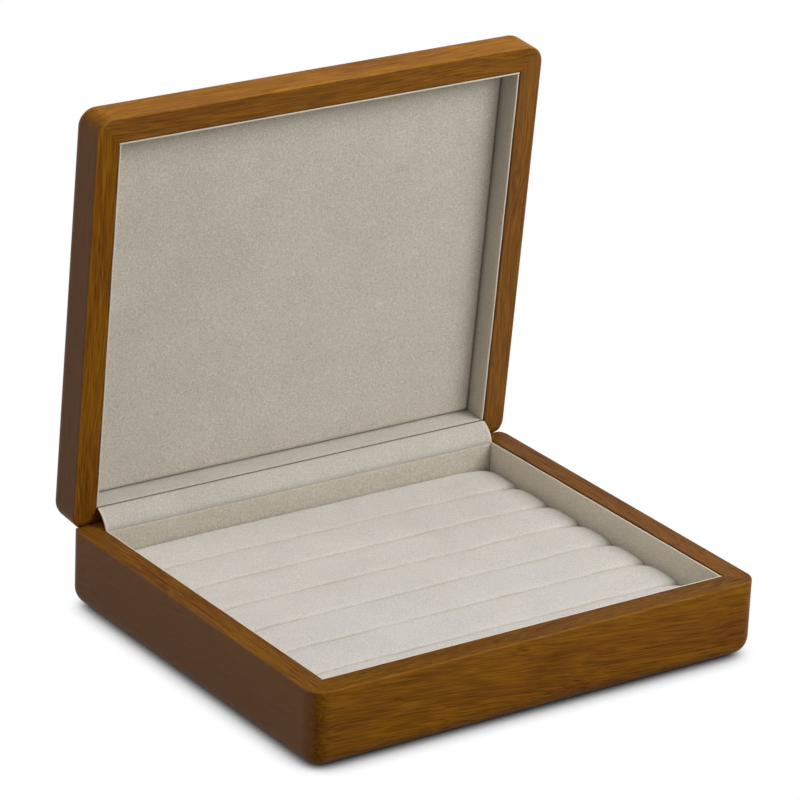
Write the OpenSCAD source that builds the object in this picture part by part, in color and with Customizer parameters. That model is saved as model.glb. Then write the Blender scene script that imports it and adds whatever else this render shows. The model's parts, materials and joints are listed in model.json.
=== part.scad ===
// Wooden ring display box with a hinged lid, a suede lining and seven padded ring rolls.
// The box stands on its underside, front towards -Y, with the lid open against its stop.
// The origin is the centre of the underside.

/* [Wooden box] */
// Outside width, left to right
box_w = 240; // [200:1:300]
// Outside depth, front to back
box_d = 202.5; // [180:0.5:240]
// Height of the wooden base
base_h = 37.2; // [36:0.1:50]
// Height of the wooden lid
lid_h = 20.5; // [20:0.5:26]
// Thickness of the walls at the rim
wall_t = 12; // [11.5:0.5:14]
// Thickness of the lid's rail on the hinge side
lid_back_t = 9.6; // [9.4:0.2:10.4]
// Radius of the upright corners
corner_r = 9; // [9:0.5:11]
// Roundover of the base's bottom edge
bottom_r = 8.9; // [5:0.1:8.9]
// Roundover of the lid's top edge
top_r = 6.1; // [3:0.1:7]
// Roundover of both rims on the hinge side, which meet as the lid's stop
stop_r = 5.5; // [5:0.1:5.5]
// Gap between the rims when the lid is closed
rim_gap = 0.2; // [0.1:0.1:0.4]

/* [Panels] */
// Thickness of the lid's top panel
top_panel_t = 5; // [4:0.5:6]
// Thickness of the bottom panel
bottom_panel_t = 4; // [3:0.5:5]
// How far the panels reach into the rebates in the walls
rebate = 4; // [2:0.5:4]
// Thickness of the felt under the base
felt_t = 1.2; // [1:0.1:2]
// How far the felt stands below the wood
felt_proud = 0.7; // [0.2:0.1:0.9]

/* [Lining] */
// Thickness of the suede-covered lining boards
lining_t = 1.2; // [1:0.1:1.5]
// How far the lining's edge lies below the rim on the front, left and right
lining_drop = 0.3; // [0.2:0.1:2]
// The same on the hinge side, where it makes room for the strip over the hinge line
hinge_lining_drop = 1; // [1:0.1:2]
// Depth from the lid's rim to the face of its pad
lid_recess = 11; // [9:0.5:11]
// Thickness of the pad's backing board
backing_t = 1.5; // [1:0.1:1.8]
// Radius of the strip that covers the hinge line
cover_r = 13.2; // [13.1:0.1:13.2]
// Thickness of the strip that covers the hinge line
cover_t = 0.5; // [0.4:0.1:0.5]

/* [Ring rolls] */
// Number of ring rolls
roll_count = 7; // [5:1:8]
// Depth from the base's rim to the crown of the rolls
roll_depth = 11.5; // [10:0.5:14]
// Height of the rounded part of a roll
roll_crown = 4.5; // [3:0.5:8]
// Length of the rounded end of a roll
roll_end = 9; // [6:0.5:14]
// How far a roll's rounded end comes down
roll_end_drop = 3.2; // [2:0.2:8]
// Height of the rounded part at the end of a roll
roll_end_crown = 2.2; // [1:0.1:3]
// Thickness of the board that carries the rolls
insert_t = 3; // [2:0.5:4]

/* [Hinges] */
// Angle of the open lid from its closed place
lid_open = 85.4; // [80:0.1:85.4]
// Distance of the hinge axis from the back of the box
hinge_inset = 3.4; // [3.4:0.1:3.6]
// Height of the hinge axis above the base's rim
hinge_rise = 0.85; // [0.8:0.05:1]
// Distance from the middle of the box to the middle of each hinge
hinge_x = 68; // [40:1:80]
// Length of a hinge
hinge_l = 30; // [24:1:40]
// Thickness of the brass leaves
leaf_t = 1.2; // [1:0.1:1.3]
// Radius of the knuckles
knuckle_r = 2.2; // [2:0.1:2.3]
// Radius of the hinge pins
pin_r = 1; // [0.8:0.1:1.1]
// Running clearance round the pins
pin_clearance = 0.05; // [0.03:0.01:0.1]

/* [Hidden] */
$fn = 96;

wood = "#8a5418";
lid_wood = "#96601c";
suede = "#b2a896";
pad_suede = "#b9af9e";
roll_suede = "#cdc6bf";
board = "#8d7d66";
felt = "#4a3b30";
brass = "#b8924a";

// Heights of the base, from the surface that the box stands on
rim_z = felt_proud + base_h;
floor_z = felt_t + bottom_panel_t;
roll_floor_z = floor_z + insert_t;
roll_top_z = rim_z - roll_depth;
// Heights of the closed lid
lid_rim_z = rim_z + rim_gap;
lid_ceiling_z = lid_rim_z + lid_h - top_panel_t;
lid_pad_z = lid_rim_z + lid_recess;
// The hinge axis runs along X through this place in Y and Z
hinge_y = box_d / 2 - hinge_inset;
hinge_z = rim_z + hinge_rise;

// Gap between the felt and the walls
felt_gap = 0.2;

// Inner faces of the walls, in X and Y
inner_x = box_w / 2 - wall_t;
inner_y = box_d / 2 - wall_t;
lid_inner_back_y = box_d / 2 - lid_back_t;

// The rolls fill the space between the lining boards, less some slack on each side
slack = 0.3;
roll_l = 2 * (inner_x - lining_t - slack);
roll_pitch = 2 * (inner_y - lining_t - slack) / roll_count;
roll_gap = 0.2;
roll_w = roll_pitch - roll_gap;
roll_h = roll_top_z - roll_floor_z;

// Hinge details. The middle knuckle is the lid leaf's.
knuckle_gap = 0.2;
mid_knuckle_share = 0.37;
mid_knuckle_l = hinge_l * mid_knuckle_share;
pocket_r = knuckle_r + 0.4;
pocket_end_gap = 1;
plate_back = knuckle_r + 0.3;
plate_tongue = 0.5;
leaf_fit = 0.1;
leaf_bed = 0.05;
base_leaf_front_y = inner_y + 0.8;
lid_leaf_front_y = lid_inner_back_y + 0.4;
pin_head_r = pin_r + 0.5;
pin_head_l = 0.5;
screw_share = 0.33;
screw_x = hinge_l * screw_share;
screw_l = 7;
screw_r = 0.8;
screw_fit = 0.05;
screw_head_r = 1.4;
screw_head_h = 0.7;
base_screw_inset = 8.35;
lid_screw_inset = 7.5;
base_screw_y = box_d / 2 - base_screw_inset;
lid_screw_y = box_d / 2 - lid_screw_inset;

// Strip over the hinge line: an arc about this centre, from the base's lining to the lid's
cover_inset = 0.15;
cover_drop = 4.3;
cover_y = box_d / 2 - cover_inset;
cover_z = rim_z - cover_drop;
cover_from = 16;
cover_to = 70;

// How far cutting shapes reach past what they cut
past = 1;

// Outlines

// Removes what lies outside a quarter circle of radius e that ends at [e, e] and starts at [0, 0]
module edge_cut(e) {
    difference() {
        translate([0, -past]) square(e + past);
        translate([0, e]) circle(e);
    }
}

// Cross-section of a slab of width w with both lower edges rounded
module slab_section(w, h, e) {
    difference() {
        translate([-w / 2, 0]) square([w, h]);
        for (side = [0, 1]) mirror([side, 0]) translate([w / 2 - e, 0]) edge_cut(e);
    }
}

// Section of one edge of the slab, measured outwards from the corner's axis
module edge_section(r, h, e) {
    difference() {
        square([r, h]);
        translate([r - e, 0]) edge_cut(e);
    }
}

// Slab with upright corners of radius r and a roundover e along its lower edge
module rounded_slab(w, d, h, r, e) {
    translate([-(w / 2 - r), 0, 0])
        rotate([90, 0, 90]) linear_extrude(w - 2 * r) slab_section(d, h, e);
    for (side = [0, 180]) rotate(side) {
        translate([w / 2 - r, d / 2 - r, 0])
            rotate([90, 0, 0]) linear_extrude(d - 2 * r) edge_section(r, h, e);
        translate([w / 2 - r, d / 2 - r, 0]) rotate_extrude(angle = 90) edge_section(r, h, e);
        translate([w / 2 - r, -(d / 2 - r), 0]) rotate(-90)
            rotate_extrude(angle = 90) edge_section(r, h, e);
    }
}

// Wedge that holds one side of a mitred frame: side 0 is the front, then right, back and left.
// back_t is the frame's thickness at the back. The wedge reaches past the frame on both faces,
// by a share of its thickness.
mitre_reach = 0.3;
module mitre_wedge(side, back_t) {
    outer = [[-1, -1], [1, -1], [1, 1], [-1, 1]];
    corner = [for (o = outer) [o.x * box_w / 2, o.y * box_d / 2]];
    inward = [for (o = outer) [-o.x * wall_t, -o.y * (o.y > 0 ? back_t : wall_t)]];
    a = side;
    b = (side + 1) % 4;
    translate([0, 0, -past]) linear_extrude(lid_rim_z + lid_h + 2 * past)
        polygon([
            corner[a] - mitre_reach * inward[a],
            corner[b] - mitre_reach * inward[b],
            corner[b] + (1 + mitre_reach) * inward[b],
            corner[a] + (1 + mitre_reach) * inward[a]
        ]);
}

// Puts a closed lid's piece in its open place
module on_open_lid() {
    translate([0, hinge_y, hinge_z]) rotate([-lid_open, 0, 0])
        translate([0, -hinge_y, -hinge_z]) children();
}

// Copies a hinge's piece to the left or right hinge
module at_hinge(side) {
    translate([side * hinge_x, 0, 0]) children();
}

// Hinges

// Cylinder along X on the hinge axis, from x0 to x1
module on_axis(r, x0, x1) {
    translate([x0, hinge_y, hinge_z]) rotate([0, 90, 0]) cylinder(r = r, h = x1 - x0);
}

// Room for the knuckles in both rims
module knuckle_pocket() {
    half = hinge_l / 2 + pocket_end_gap;
    on_axis(pocket_r, -half, half);
}

// Places of the two screws of one leaf
module at_screws(y, z) {
    for (x = [-screw_x, screw_x]) translate([x, y, z]) children();
}

// Countersunk wood screw that points down from its flat head
module screw(extra = 0) {
    translate([0, 0, -screw_l]) cylinder(r = screw_r + extra, h = screw_l);
    translate([0, 0, -screw_head_h - extra])
        cylinder(r1 = screw_r + extra, r2 = screw_head_r + extra, h = screw_head_h);
    if (extra > 0) translate([0, 0, -extra]) cylinder(r = screw_head_r + extra, h = past);
}

module base_leaf() {
    half = hinge_l / 2;
    inner = mid_knuckle_l / 2 + knuckle_gap;
    difference() {
        union() {
            translate([-half, base_leaf_front_y, rim_z - leaf_t])
                cube([hinge_l, hinge_y - plate_back - base_leaf_front_y, leaf_t]);
            for (side = [0, 1]) mirror([side, 0, 0]) {
                translate([inner, hinge_y - plate_back - plate_tongue, rim_z - leaf_t])
                    cube([half - inner, plate_back + plate_tongue, leaf_t]);
                on_axis(knuckle_r, inner, half);
            }
        }
        on_axis(pin_r + pin_clearance, -half - past, half + past);
        at_screws(base_screw_y, rim_z) screw(extra = screw_fit);
    }
}

module lid_leaf() {
    half = hinge_l / 2;
    mid = mid_knuckle_l / 2;
    difference() {
        union() {
            translate([-half, lid_leaf_front_y, lid_rim_z])
                cube([hinge_l, hinge_y - plate_back - lid_leaf_front_y, leaf_t]);
            translate([-mid, hinge_y - plate_back - plate_tongue, lid_rim_z])
                cube([2 * mid, plate_back + plate_tongue, leaf_t]);
            on_axis(knuckle_r, -mid, mid);
        }
        on_axis(pin_r + pin_clearance, -half - past, half + past);
        at_screws(lid_screw_y, lid_rim_z) mirror([0, 0, 1]) screw(extra = screw_fit);
    }
}

module hinge_pin() {
    half = hinge_l / 2;
    head_x = half + pin_clearance;
    on_axis(pin_r, -head_x - pin_head_l / 2, head_x + pin_head_l / 2);
    for (side = [0, 1]) mirror([side, 0, 0]) on_axis(pin_head_r, head_x, head_x + pin_head_l);
}

// Cuts for one hinge in the base's rim, and in the lid's
module base_hinge_cuts() {
    half = hinge_l / 2 + leaf_fit;
    knuckle_pocket();
    translate([-half, base_leaf_front_y - leaf_fit, rim_z - leaf_t - leaf_bed])
        cube([2 * half, hinge_y - base_leaf_front_y, leaf_t + past]);
    at_screws(base_screw_y, rim_z) screw(extra = screw_fit);
}

module lid_hinge_cuts() {
    half = hinge_l / 2 + leaf_fit;
    knuckle_pocket();
    translate([-half, lid_leaf_front_y - leaf_fit, lid_rim_z - past])
        cube([2 * half, hinge_y - lid_leaf_front_y, leaf_t + leaf_bed + past]);
    at_screws(lid_screw_y, lid_rim_z) mirror([0, 0, 1]) screw(extra = screw_fit);
}

// Base

module base_frame() {
    difference() {
        translate([0, 0, felt_proud]) rounded_slab(box_w, box_d, base_h, corner_r, bottom_r);
        translate([-inner_x, -inner_y, -past])
            cube([2 * inner_x, 2 * inner_y, rim_z + 2 * past]);
        translate([-inner_x - rebate, -inner_y - rebate, -past])
            cube([2 * (inner_x + rebate), 2 * (inner_y + rebate), floor_z + past]);
        translate([-box_w / 2 - past, box_d / 2 - stop_r, rim_z])
            rotate([90, 0, 90]) linear_extrude(box_w + 2 * past)
                mirror([0, 1]) edge_cut(stop_r);
    }
}

module base_wall(side) {
    color(wood) intersection() {
        base_frame();
        mitre_wedge(side, wall_t);
    }
}

module base_front_wall() base_wall(0);
module base_right_wall() base_wall(1);
module base_left_wall() base_wall(3);

module base_back_wall() {
    color(wood) difference() {
        base_wall(2);
        for (side = [-1, 1]) at_hinge(side) base_hinge_cuts();
    }
}

module base_bottom_panel() {
    w = 2 * (inner_x + rebate);
    d = 2 * (inner_y + rebate);
    color(board) translate([-w / 2, -d / 2, felt_t]) cube([w, d, bottom_panel_t]);
}

module underside_felt() {
    w = 2 * (inner_x + rebate - felt_gap);
    d = 2 * (inner_y + rebate - felt_gap);
    color(felt) translate([-w / 2, -d / 2, 0]) cube([w, d, felt_t]);
}

// Lining board against the inner face of a wall: the front and back boards run the whole width
module across_lining(y, z0, z1) {
    color(suede) translate([-inner_x, y, z0]) cube([2 * inner_x, lining_t, z1 - z0]);
}

module side_lining(side, back_y, z0, z1) {
    x = side < 0 ? -inner_x : inner_x - lining_t;
    front_y = -inner_y + lining_t;
    color(suede) translate([x, front_y, z0]) cube([lining_t, back_y - lining_t - front_y, z1 - z0]);
}

module base_front_lining() across_lining(-inner_y, floor_z, rim_z - lining_drop);
module base_back_lining() across_lining(inner_y - lining_t, floor_z, rim_z - hinge_lining_drop);
module base_left_lining() side_lining(-1, inner_y, floor_z, rim_z - lining_drop);
module base_right_lining() side_lining(1, inner_y, floor_z, rim_z - lining_drop);

module roll_board() {
    d = 2 * (inner_y - lining_t - slack);
    color(board) translate([-roll_l / 2, -d / 2, floor_z]) cube([roll_l, d, insert_t]);
}

// Ring rolls

// A roll is a closed surface through sections along X. Each section has flat sides and a crown
// that follows a superellipse. Over the ends the crown comes down and flattens, and the sides draw
// in, all along a quarter of an ellipse.
crown_steps = 16;
end_steps = 6;
middle_steps = 6;
crown_power = 3.5;
side_draw = 0.4;

function end_place(i) = roll_end * (1 - cos(90 * i / end_steps));
function end_fall(i) = 1 - sin(90 * i / end_steps);
roll_stations = concat(
    [for (i = [0 : end_steps]) [-roll_l / 2 + end_place(i), end_fall(i)]],
    [for (i = [1 : middle_steps - 1])
        [(roll_l - 2 * roll_end) * (i / middle_steps - 0.5), 0]],
    [for (i = [end_steps : -1 : 0]) [roll_l / 2 - end_place(i), end_fall(i)]]
);

function signed_power(v, p) = sign(v) * pow(abs(v), p);
function roll_section(station) =
    let (
        x = station[0],
        half = roll_w / 2 - side_draw * station[1],
        top = roll_h - roll_end_drop * station[1],
        crown = roll_crown + (roll_end_crown - roll_crown) * station[1]
    ) concat(
        [[x, -half, 0]],
        [for (i = [0 : crown_steps])
            let (a = 180 * (1 - i / crown_steps))
            [
                x,
                half * signed_power(cos(a), 2 / crown_power),
                top - crown + crown * signed_power(sin(a), 2 / crown_power)
            ]],
        [[x, half, 0]]
    );

// Closes a stack of sections with n points each into faces of three points
function stack_faces(count, n) = concat(
    [for (s = [0 : count - 2], i = [0 : n - 1])
        let (j = (i + 1) % n) [s * n + i, s * n + j, (s + 1) * n + j]],
    [for (s = [0 : count - 2], i = [0 : n - 1])
        let (j = (i + 1) % n) [s * n + i, (s + 1) * n + j, (s + 1) * n + i]],
    [for (i = [1 : n - 2]) [0, i + 1, i]],
    [for (i = [1 : n - 2]) [(count - 1) * n, (count - 1) * n + i, (count - 1) * n + i + 1]]
);

// Roll number k, counted from the front
module ring_roll(k) {
    y = (k - (roll_count + 1) / 2) * roll_pitch;
    color(roll_suede) translate([0, y, roll_floor_z])
        polyhedron(
            points = [for (station = roll_stations) each roll_section(station)],
            faces = stack_faces(len(roll_stations), crown_steps + 3)
        );
}

// Strip of suede that bends over the hinge line inside the box
module hinge_cover() {
    reach = 2 * cover_r;
    color(pad_suede) translate([-inner_x + slack, cover_y, cover_z])
        rotate([90, 0, 90]) linear_extrude(2 * (inner_x - slack)) intersection() {
            difference() {
                circle(cover_r);
                circle(cover_r - cover_t);
            }
            polygon([
                [0, 0],
                for (a = [cover_from, (cover_from + cover_to) / 2, cover_to])
                    reach * [-cos(a), sin(a)]
            ]);
        }
}

// Lid

module lid_frame() {
    difference() {
        translate([0, 0, lid_rim_z + lid_h]) mirror([0, 0, 1])
            rounded_slab(box_w, box_d, lid_h, corner_r, top_r);
        translate([-inner_x, -inner_y, 0])
            cube([2 * inner_x, inner_y + lid_inner_back_y, 2 * rim_z + lid_h]);
        translate([-inner_x - rebate, -inner_y - rebate, lid_ceiling_z])
            cube([2 * (inner_x + rebate), inner_y + lid_inner_back_y + 2 * rebate, lid_h]);
        translate([-box_w / 2 - past, box_d / 2 - stop_r, lid_rim_z])
            rotate([90, 0, 90]) linear_extrude(box_w + 2 * past) edge_cut(stop_r);
    }
}

module lid_rail(side) {
    color(lid_wood) on_open_lid() intersection() {
        lid_frame();
        mitre_wedge(side, lid_back_t);
    }
}

module lid_front_rail() lid_rail(0);
module lid_right_rail() lid_rail(1);
module lid_left_rail() lid_rail(3);

module lid_back_rail() {
    color(lid_wood) difference() {
        lid_rail(2);
        on_open_lid() for (side = [-1, 1]) at_hinge(side) lid_hinge_cuts();
    }
}

module lid_top_panel() {
    w = 2 * (inner_x + rebate);
    d = inner_y + lid_inner_back_y + 2 * rebate;
    color(lid_wood) on_open_lid() translate([-w / 2, -inner_y - rebate, lid_ceiling_z])
        cube([w, d, top_panel_t]);
}

lid_lining_z = lid_rim_z + lining_drop;
module lid_front_lining() on_open_lid() across_lining(-inner_y, lid_lining_z, lid_ceiling_z);
module lid_back_lining()
    on_open_lid() across_lining(
        lid_inner_back_y - lining_t, lid_rim_z + hinge_lining_drop, lid_ceiling_z
    );
module lid_left_lining() on_open_lid() side_lining(-1, lid_inner_back_y, lid_lining_z, lid_ceiling_z);
module lid_right_lining() on_open_lid() side_lining(1, lid_inner_back_y, lid_lining_z, lid_ceiling_z);

// Space inside the lid's lining
pad_w = 2 * (inner_x - lining_t - slack);
pad_front_y = -inner_y + lining_t + slack;
pad_d = lid_inner_back_y - lining_t - slack - pad_front_y;

module lid_backing_board() {
    color(board) on_open_lid() translate([-pad_w / 2, pad_front_y, lid_ceiling_z - backing_t])
        cube([pad_w, pad_d, backing_t]);
}

// Padded panel: a grid whose face swells from its edge to a low crown
pad_columns = 28;
pad_rows = 22;
pad_edge = 1.2;
pad_flatness = 10;
pad_softness = 0.5;
pad_t = lid_ceiling_z - backing_t - lid_pad_z;

function pad_fall(u) = 1 - pow(abs(u), pad_flatness);
function pad_swell(u, v) = pow(pad_fall(u) * pad_fall(v), pad_softness);
function pad_point(i, j) =
    let (u = sin(90 * (2 * i / pad_columns - 1)), v = sin(90 * (2 * j / pad_rows - 1)))
    [u * pad_w / 2, v * pad_d / 2, -pad_edge - (pad_t - pad_edge) * pad_swell(u, v)];
function pad_index(i, j) = i * (pad_rows + 1) + j;
pad_grid = [for (i = [0 : pad_columns], j = [0 : pad_rows]) pad_point(i, j)];
pad_border = concat(
    [for (i = [0 : pad_columns - 1]) [i, 0]],
    [for (j = [0 : pad_rows - 1]) [pad_columns, j]],
    [for (i = [pad_columns : -1 : 1]) [i, pad_rows]],
    [for (j = [pad_rows : -1 : 1]) [0, j]]
);

module lid_pad() {
    grid_n = len(pad_grid);
    border_n = len(pad_border);
    back = [for (b = pad_border) [pad_point(b.x, b.y).x, pad_point(b.x, b.y).y, 0]];
    face = [for (b = pad_border) pad_index(b.x, b.y)];
    middle = grid_n + border_n;
    color(pad_suede) on_open_lid()
        translate([0, pad_front_y + pad_d / 2, lid_ceiling_z - backing_t])
        polyhedron(
            points = concat(pad_grid, back, [[0, 0, 0]]),
            faces = concat(
                [for (i = [0 : pad_columns - 1], j = [0 : pad_rows - 1])
                    [pad_index(i, j), pad_index(i + 1, j), pad_index(i + 1, j + 1)]],
                [for (i = [0 : pad_columns - 1], j = [0 : pad_rows - 1])
                    [pad_index(i, j), pad_index(i + 1, j + 1), pad_index(i, j + 1)]],
                [for (k = [0 : border_n - 1])
                    let (m = (k + 1) % border_n) [face[k], grid_n + k, grid_n + m]],
                [for (k = [0 : border_n - 1])
                    let (m = (k + 1) % border_n) [face[k], grid_n + m, face[m]]],
                [for (k = [0 : border_n - 1])
                    let (m = (k + 1) % border_n) [middle, grid_n + m, grid_n + k]]
            )
        );
}

// Hinge pieces in their places

module left_hinge_base_leaf() color(brass) at_hinge(-1) base_leaf();
module right_hinge_base_leaf() color(brass) at_hinge(1) base_leaf();
module left_hinge_pin() color(brass) at_hinge(-1) hinge_pin();
module right_hinge_pin() color(brass) at_hinge(1) hinge_pin();
module left_hinge_lid_leaf() color(brass) on_open_lid() at_hinge(-1) lid_leaf();
module right_hinge_lid_leaf() color(brass) on_open_lid() at_hinge(1) lid_leaf();

module base_hinge_screws() {
    color(brass) for (side = [-1, 1]) at_hinge(side) at_screws(base_screw_y, rim_z) screw();
}

module lid_hinge_screws() {
    color(brass) on_open_lid() for (side = [-1, 1]) at_hinge(side)
        at_screws(lid_screw_y, lid_rim_z) mirror([0, 0, 1]) screw();
}

base_front_wall();
base_back_wall();
base_left_wall();
base_right_wall();
base_bottom_panel();
underside_felt();
base_front_lining();
base_back_lining();
base_left_lining();
base_right_lining();
roll_board();
ring_roll(1);  // ring_roll_1
ring_roll(2);  // ring_roll_2
ring_roll(3);  // ring_roll_3
ring_roll(4);  // ring_roll_4
ring_roll(5);  // ring_roll_5
ring_roll(6);  // ring_roll_6
ring_roll(7);  // ring_roll_7
left_hinge_base_leaf();
right_hinge_base_leaf();
left_hinge_pin();
right_hinge_pin();
base_hinge_screws();
hinge_cover();
lid_front_rail();
lid_back_rail();
lid_left_rail();
lid_right_rail();
lid_top_panel();
lid_front_lining();
lid_back_lining();
lid_left_lining();
lid_right_lining();
lid_backing_board();
lid_pad();
left_hinge_lid_leaf();
right_hinge_lid_leaf();
lid_hinge_screws();
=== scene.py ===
"""Looks of a wooden ring display box with a hinged lid, a suede lining and seven padded ring rolls.

Every length is in metres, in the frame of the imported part: +X to the right, +Y to the back, +Z up,
with the box on the floor at z = 0 and its lid open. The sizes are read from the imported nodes, and
this script adds only what they leave out: eased edges, folded fabric, creases and finishes.
"""

from __future__ import annotations

import json
import logging
import math
from collections.abc import Callable
from dataclasses import dataclass
from enum import Enum, IntEnum

import bpy
import numpy as np
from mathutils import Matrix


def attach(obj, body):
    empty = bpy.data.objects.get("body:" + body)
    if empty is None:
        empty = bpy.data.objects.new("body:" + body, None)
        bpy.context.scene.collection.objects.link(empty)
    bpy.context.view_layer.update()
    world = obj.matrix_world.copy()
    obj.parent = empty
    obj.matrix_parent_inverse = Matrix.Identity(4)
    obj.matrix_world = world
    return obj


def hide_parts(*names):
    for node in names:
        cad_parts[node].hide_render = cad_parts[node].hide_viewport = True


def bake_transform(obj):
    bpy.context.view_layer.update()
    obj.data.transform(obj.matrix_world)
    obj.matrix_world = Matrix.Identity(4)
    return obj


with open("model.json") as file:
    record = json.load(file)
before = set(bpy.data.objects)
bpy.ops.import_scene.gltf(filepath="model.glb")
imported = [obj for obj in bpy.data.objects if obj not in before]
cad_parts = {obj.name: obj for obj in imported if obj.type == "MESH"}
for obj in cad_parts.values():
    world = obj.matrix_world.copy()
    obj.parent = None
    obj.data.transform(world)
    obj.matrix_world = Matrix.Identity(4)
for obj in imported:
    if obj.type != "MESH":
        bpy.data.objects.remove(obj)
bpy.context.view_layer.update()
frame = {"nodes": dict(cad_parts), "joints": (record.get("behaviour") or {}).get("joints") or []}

log = logging.getLogger("ring_box")

MM = 0.001

Points = np.ndarray
Faces = list[list[int]]
Colour = tuple[float, float, float, float]
Piece = bpy.types.Object
Material = bpy.types.Material
Socket = bpy.types.NodeSocket


class Side(Enum):
    """One side of a rectangular frame, as (unit step along the board, unit step outwards)."""

    FRONT = ((1, 0), (0, -1))
    RIGHT = ((0, 1), (1, 0))
    BACK = ((-1, 0), (0, 1))
    LEFT = ((0, -1), (-1, 0))

    @property
    def before(self) -> Side:
        """The side whose board meets the start of this one."""
        order = list(Side)
        return order[order.index(self) - 1]

    @property
    def after(self) -> Side:
        """The side whose board meets the end of this one."""
        order = list(Side)
        return order[(order.index(self) + 1) % len(order)]

    @property
    def word(self) -> str:
        """The side's name as the pieces have it."""
        return self.name.lower()


class Grain(Enum):
    """The way a board's grain runs, as a turn about Z that lays it along X."""

    ALONG_X = 0.0
    ALONG_Y = math.pi / 2


@dataclass(frozen=True)
class LidTurn:
    """The lid's turn about its hinge axis, which runs along X.

    Attributes:
        y: Place of the axis in Y.
        z: Place of the axis in Z.
        angle: How far the lid is open at rest, in radians.
    """

    y: float
    z: float
    angle: float

    def turned(self, points: Points, angle: float) -> Points:
        """Turns points about the axis by a rotation matrix.

        Args:
            points: Points in rows of three.
            angle: Angle in radians, positive from +Y to +Z.

        Returns:
            The turned points.
        """
        c, s = math.cos(angle), math.sin(angle)
        y, z = points[..., 1] - self.y, points[..., 2] - self.z
        return np.stack([points[..., 0], self.y + c * y - s * z, self.z + s * y + c * z], axis=-1)

    def opened(self, points: Points) -> Points:
        """Takes points of the closed lid to the open one."""
        return self.turned(points, -self.angle)

    def closed(self, points: Points) -> Points:
        """Takes points of the open lid to the closed one."""
        return self.turned(points, self.angle)


@dataclass(frozen=True)
class Span:
    """A box along the axes.

    Attributes:
        lo: Its lowest corner.
        hi: Its highest corner.
    """

    lo: Points
    hi: Points

    @property
    def size(self) -> Points:
        """Its three lengths."""
        return self.hi - self.lo

    @property
    def middle(self) -> Points:
        """Its centre."""
        return (self.lo + self.hi) / 2

    def grown(self, x: float = 0.0, y: float = 0.0, z: float = 0.0) -> Span:
        """The box with each face moved outwards by x, y and z."""
        return Span(self.lo - (x, y, z), self.hi + (x, y, z))


def lid_turn() -> LidTurn:
    """Reads the lid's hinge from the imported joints."""
    joint = next(j for j in frame["joints"] if j["name"] == "lid_hinge")
    _, y, z = joint["pos_m"]
    return LidTurn(y, z, math.radians(joint["range_deg"][1]))


TURN = lid_turn()


def span_of(node: str, on_lid: bool = False) -> Span:
    """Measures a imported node.

    Args:
        node: Name of the node.
        on_lid: True to measure it with the lid closed.

    Returns:
        The node's box.
    """
    mesh = frame["nodes"][node].data
    flat = np.empty(len(mesh.vertices) * 3, np.float32)
    mesh.vertices.foreach_get("co", flat)
    points = flat.reshape(-1, 3).astype(float)
    if on_lid:
        points = TURN.closed(points)
    return Span(points.min(axis=0), points.max(axis=0))


# Meshes


def grid_faces(rows: int, columns: int, wrap: bool = False) -> np.ndarray:
    """Numbers the four-sided faces of a grid of points.

    Args:
        rows: Number of rows.
        columns: Number of points in each row.
        wrap: True where the last point of a row joins the first.

    Returns:
        Four point numbers a face.
    """
    i = np.arange(rows - 1)[:, None]
    j = np.arange(columns if wrap else columns - 1)[None, :]
    k = (j + 1) % columns
    corners = (i * columns + j, i * columns + k, (i + 1) * columns + k, (i + 1) * columns + j)
    return np.stack(np.broadcast_arrays(*corners), axis=-1).reshape(-1, 4)


def enclosed_volume(points: Points, faces: Faces) -> float:
    """Sums the signed volume between the origin and each face, cut into a fan of triangles.

    Args:
        points: Points in rows of three.
        faces: Point numbers of each face.

    Returns:
        The volume, negative where the faces point inwards.
    """
    fans = [(f[0], f[k], f[k + 1]) for f in faces for k in range(1, len(f) - 1)]
    a, b, c = (points[list(corner)] for corner in zip(*fans))
    return float(np.einsum("ij,ij->i", a, np.cross(b, c)).sum() / 6)


class Crease(Enum):
    """The angle in degrees past which an edge of a mesh stays sharp."""

    FINE = 35.0
    PLAIN = 40.0
    SOFT = 60.0


def add_object(name: str, data: bpy.types.ID) -> Piece:
    """Adds an object to the scene, at the origin.

    Args:
        name: Its name.
        data: Its mesh, lamp or camera.

    Returns:
        The object.
    """
    made = bpy.data.objects.new(name, data)
    bpy.context.scene.collection.objects.link(made)
    return made


def closed_mesh(name: str, points: Points, faces: Faces, crease: Crease = Crease.PLAIN) -> Piece:
    """Makes a closed mesh whose faces point outwards.

    Args:
        name: Name of the piece.
        points: Points in rows of three.
        faces: Point numbers of each face.
        crease: How sharp an edge stays sharp.

    Returns:
        The new piece.
    """
    if enclosed_volume(points - points.mean(axis=0), faces) < 0:
        faces = [face[::-1] for face in faces]
    mesh = bpy.data.meshes.new(name)
    mesh.from_pydata(points.tolist(), [], faces)
    mesh.update()
    mesh.shade_smooth()
    mesh.set_sharp_from_angle(angle=math.radians(crease.value))
    return add_object(name, mesh)


def swept_mesh(name: str, grid: Points, crease: Crease = Crease.PLAIN) -> Piece:
    """Closes a grid of sections into a solid.

    Each section is a loop, and the first and the last are capped.

    Args:
        name: Name of the piece.
        grid: Sections x points x 3.
        crease: How sharp an edge stays sharp.

    Returns:
        The new piece.
    """
    sections, count = grid.shape[:2]
    faces = grid_faces(sections, count, wrap=True).tolist()
    faces.append(list(range(count))[::-1])
    faces.append(list(range((sections - 1) * count, sections * count)))
    return closed_mesh(name, grid.reshape(-1, 3), faces, crease)


def places_along(lo: float, hi: float, near: Points, cells: int) -> Points:
    """Places along a line: the same given ones from each end, and even ones between.

    Args:
        lo: Lower end.
        hi: Upper end.
        near: Distances from an end, in order.
        cells: Faces between the greatest distances from the two ends.

    Returns:
        The places, in order.
    """
    between = np.linspace(lo + near[-1], hi - near[-1], cells + 1)[1:-1]
    return np.concatenate([lo + near, between, (hi - near)[::-1]])


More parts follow.
